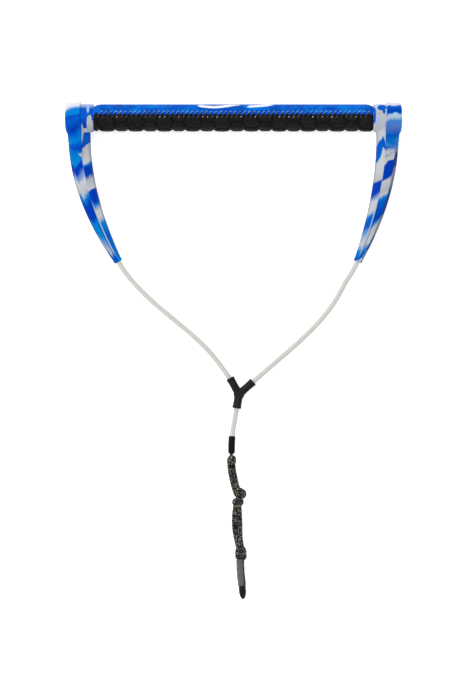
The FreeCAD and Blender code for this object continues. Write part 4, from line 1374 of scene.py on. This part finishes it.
def makeStitches(label, up):
    draw = np.random.default_rng(5 if up > 0 else 6)
    count = int(2 * grip["half"] / grip["stitch"])
    parts = []
    tones = []
    for i in range(-(count // 2), count // 2 + 1):
        x = i * grip["stitch"]
        if abs(x) > grip["half"] - 3:
            continue
        top = draw.uniform(4.3, 5.0)
        shade = draw.uniform(0.45, 1.0)
        spots = [(top + 0.3, -1.0), (top, 0.12), (top - 1.5, 0.35), (1.6, 0.05), (0.3, -0.5), (-0.6, -1.0)]
        line = [onSeam(x + grip["slant"] * r - 0.9, r, lift, up) for r, lift in spots]
        part = tubeParts(smoothLoop(line), 0.30 * mm, ring=6)
        parts.append(part)
        rows = len(part[0]) // 6
        # each stitch is painted pale near its upper end as a glint, fading to the dark thread lower down
        fade = np.interp(np.linspace(0, 1, rows), [0, 0.3, 0.55, 0.75, 1], [1, 0.9, 0.3, 0.02, 0]) * shade
        tones.extend(np.repeat(fade, 6))
        speck = draw.random()
        spots = [(-1.4, -0.8), (-1.9, 0.0), (-2.5, 0.1), (-3.0, -0.7)]
        line = [onSeam(x + grip["slant"] * r - 0.6, r, lift - 0.25, up) for r, lift in spots]
        part = tubeParts(smoothLoop(line), 0.34 * mm, ring=6)
        parts.append(part)
        # a few pale specks on the pad side: thread bits, partly painted glint
        tones.extend([0.9 if speck > 0.72 else speck * 0.35] * len(part[0]))
    points, faces = joinParts(parts)
    piece = newPiece("seamStitches_" + label, points, faces)
    addNumbers(piece, "pale", tones)
    layDown(piece)
    return settle(piece, seamThread, "seam_thread_" + label, "handle")


makeGrip()
seamThread = threadFinish()
for label, up in (("top", 1), ("bottom", -1)):
    makeStitches(label, up)
print("stage: grip")

# plain pieces kept as they are in the CAD
def plainFinish(name, colour, rough, metal=0.0):
    f = Finish(name, colour, rough)
    f.bump(f.noise(900, 3), 0.00004, 0.4)
    f.roughness(f.noise(250, 3), rough - 0.06, rough + 0.06)
    f.set(Metallic=metal)
    return f.material


slotFinishes = {
    "anodised_tube": plainFinish("anodisedTube", (0.62, 0.63, 0.65), 0.3, 1.0),
    "plug_nylon": plainFinish("plugNylon", (0.03, 0.03, 0.032), 0.45),
    "coated_cord": coatedCord,
}
for nodeName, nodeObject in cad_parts.items():
    slotName = "anodised_tube" if nodeName == "bar_tube" else None
    if nodeName.startswith("end_plug"):
        slotName = "plug_nylon"
    if nodeName.startswith(("guard_cord", "stopper_knot")):
        slotName = "coated_cord"
    if slotName:
        nodeObject.data.materials.clear()
        nodeObject.data.materials.append(slotFinishes[slotName])

# each free cord's line length is worked out here, and nothing is kept
def declareCord(piece, path, diameter, stiffness, lay):
    lineLength(path)


for sideName, side in sides:
    declareCord(*bridleCords[sideName], cordInfo["diameter"], "medium", "loose")
declareCord(leadCord, leadPath, cordInfo["diameter"], "medium", "loose")
for piece, path, radius in strandPieces.values():
    declareCord(piece, path, 2 * radius, "limp", "loose")

# floor and light
def makeFloor():
    points = [(-6, -6, 0), (6, -6, 0), (6, 6, 0), (-6, 6, 0)]
    floor = newPiece("studioFloor", [(x, y, -0.0002) for x, y, z in points], [(0, 1, 2, 3)], smooth=False)
    f = Finish("floorPaper", (0.93, 0.93, 0.93), 0.9)      # pale and a little lit from below
    f.set(Specular_IOR_Level=0.1, Emission_Color=(1, 1, 1, 1), Emission_Strength=0.55)
    floor.data.materials.append(f.material)


def makeLight(name, size, power, place, aim=(0, -0.15, 0)):
    data = bpy.data.lights.new(name, "AREA")
    data.shape = "SQUARE"
    data.size = size
    data.energy = power
    light = bpy.data.objects.new(name, data)
    light.location = place
    light.rotation_euler = (Vector(aim) - Vector(place)).to_track_quat("-Z", "Y").to_euler()
    bpy.context.scene.collection.objects.link(light)


makeFloor()
makeLight("keySoftbox", 3.6, 92, (-1.1, 1.0, 3.1))
makeLight("nearFill", 2.4, 12, (0.4, -2.7, 2.1))
world = bpy.data.worlds.new("studioWorld")
world.use_nodes = True
world.node_tree.nodes["Background"].inputs["Color"].default_value = (0.95, 0.97, 1.0, 1)
world.node_tree.nodes["Background"].inputs["Strength"].default_value = 0.58
bpy.context.scene.world = world
bpy.context.scene.view_settings.view_transform = "Standard"
print("stage: floor and light")
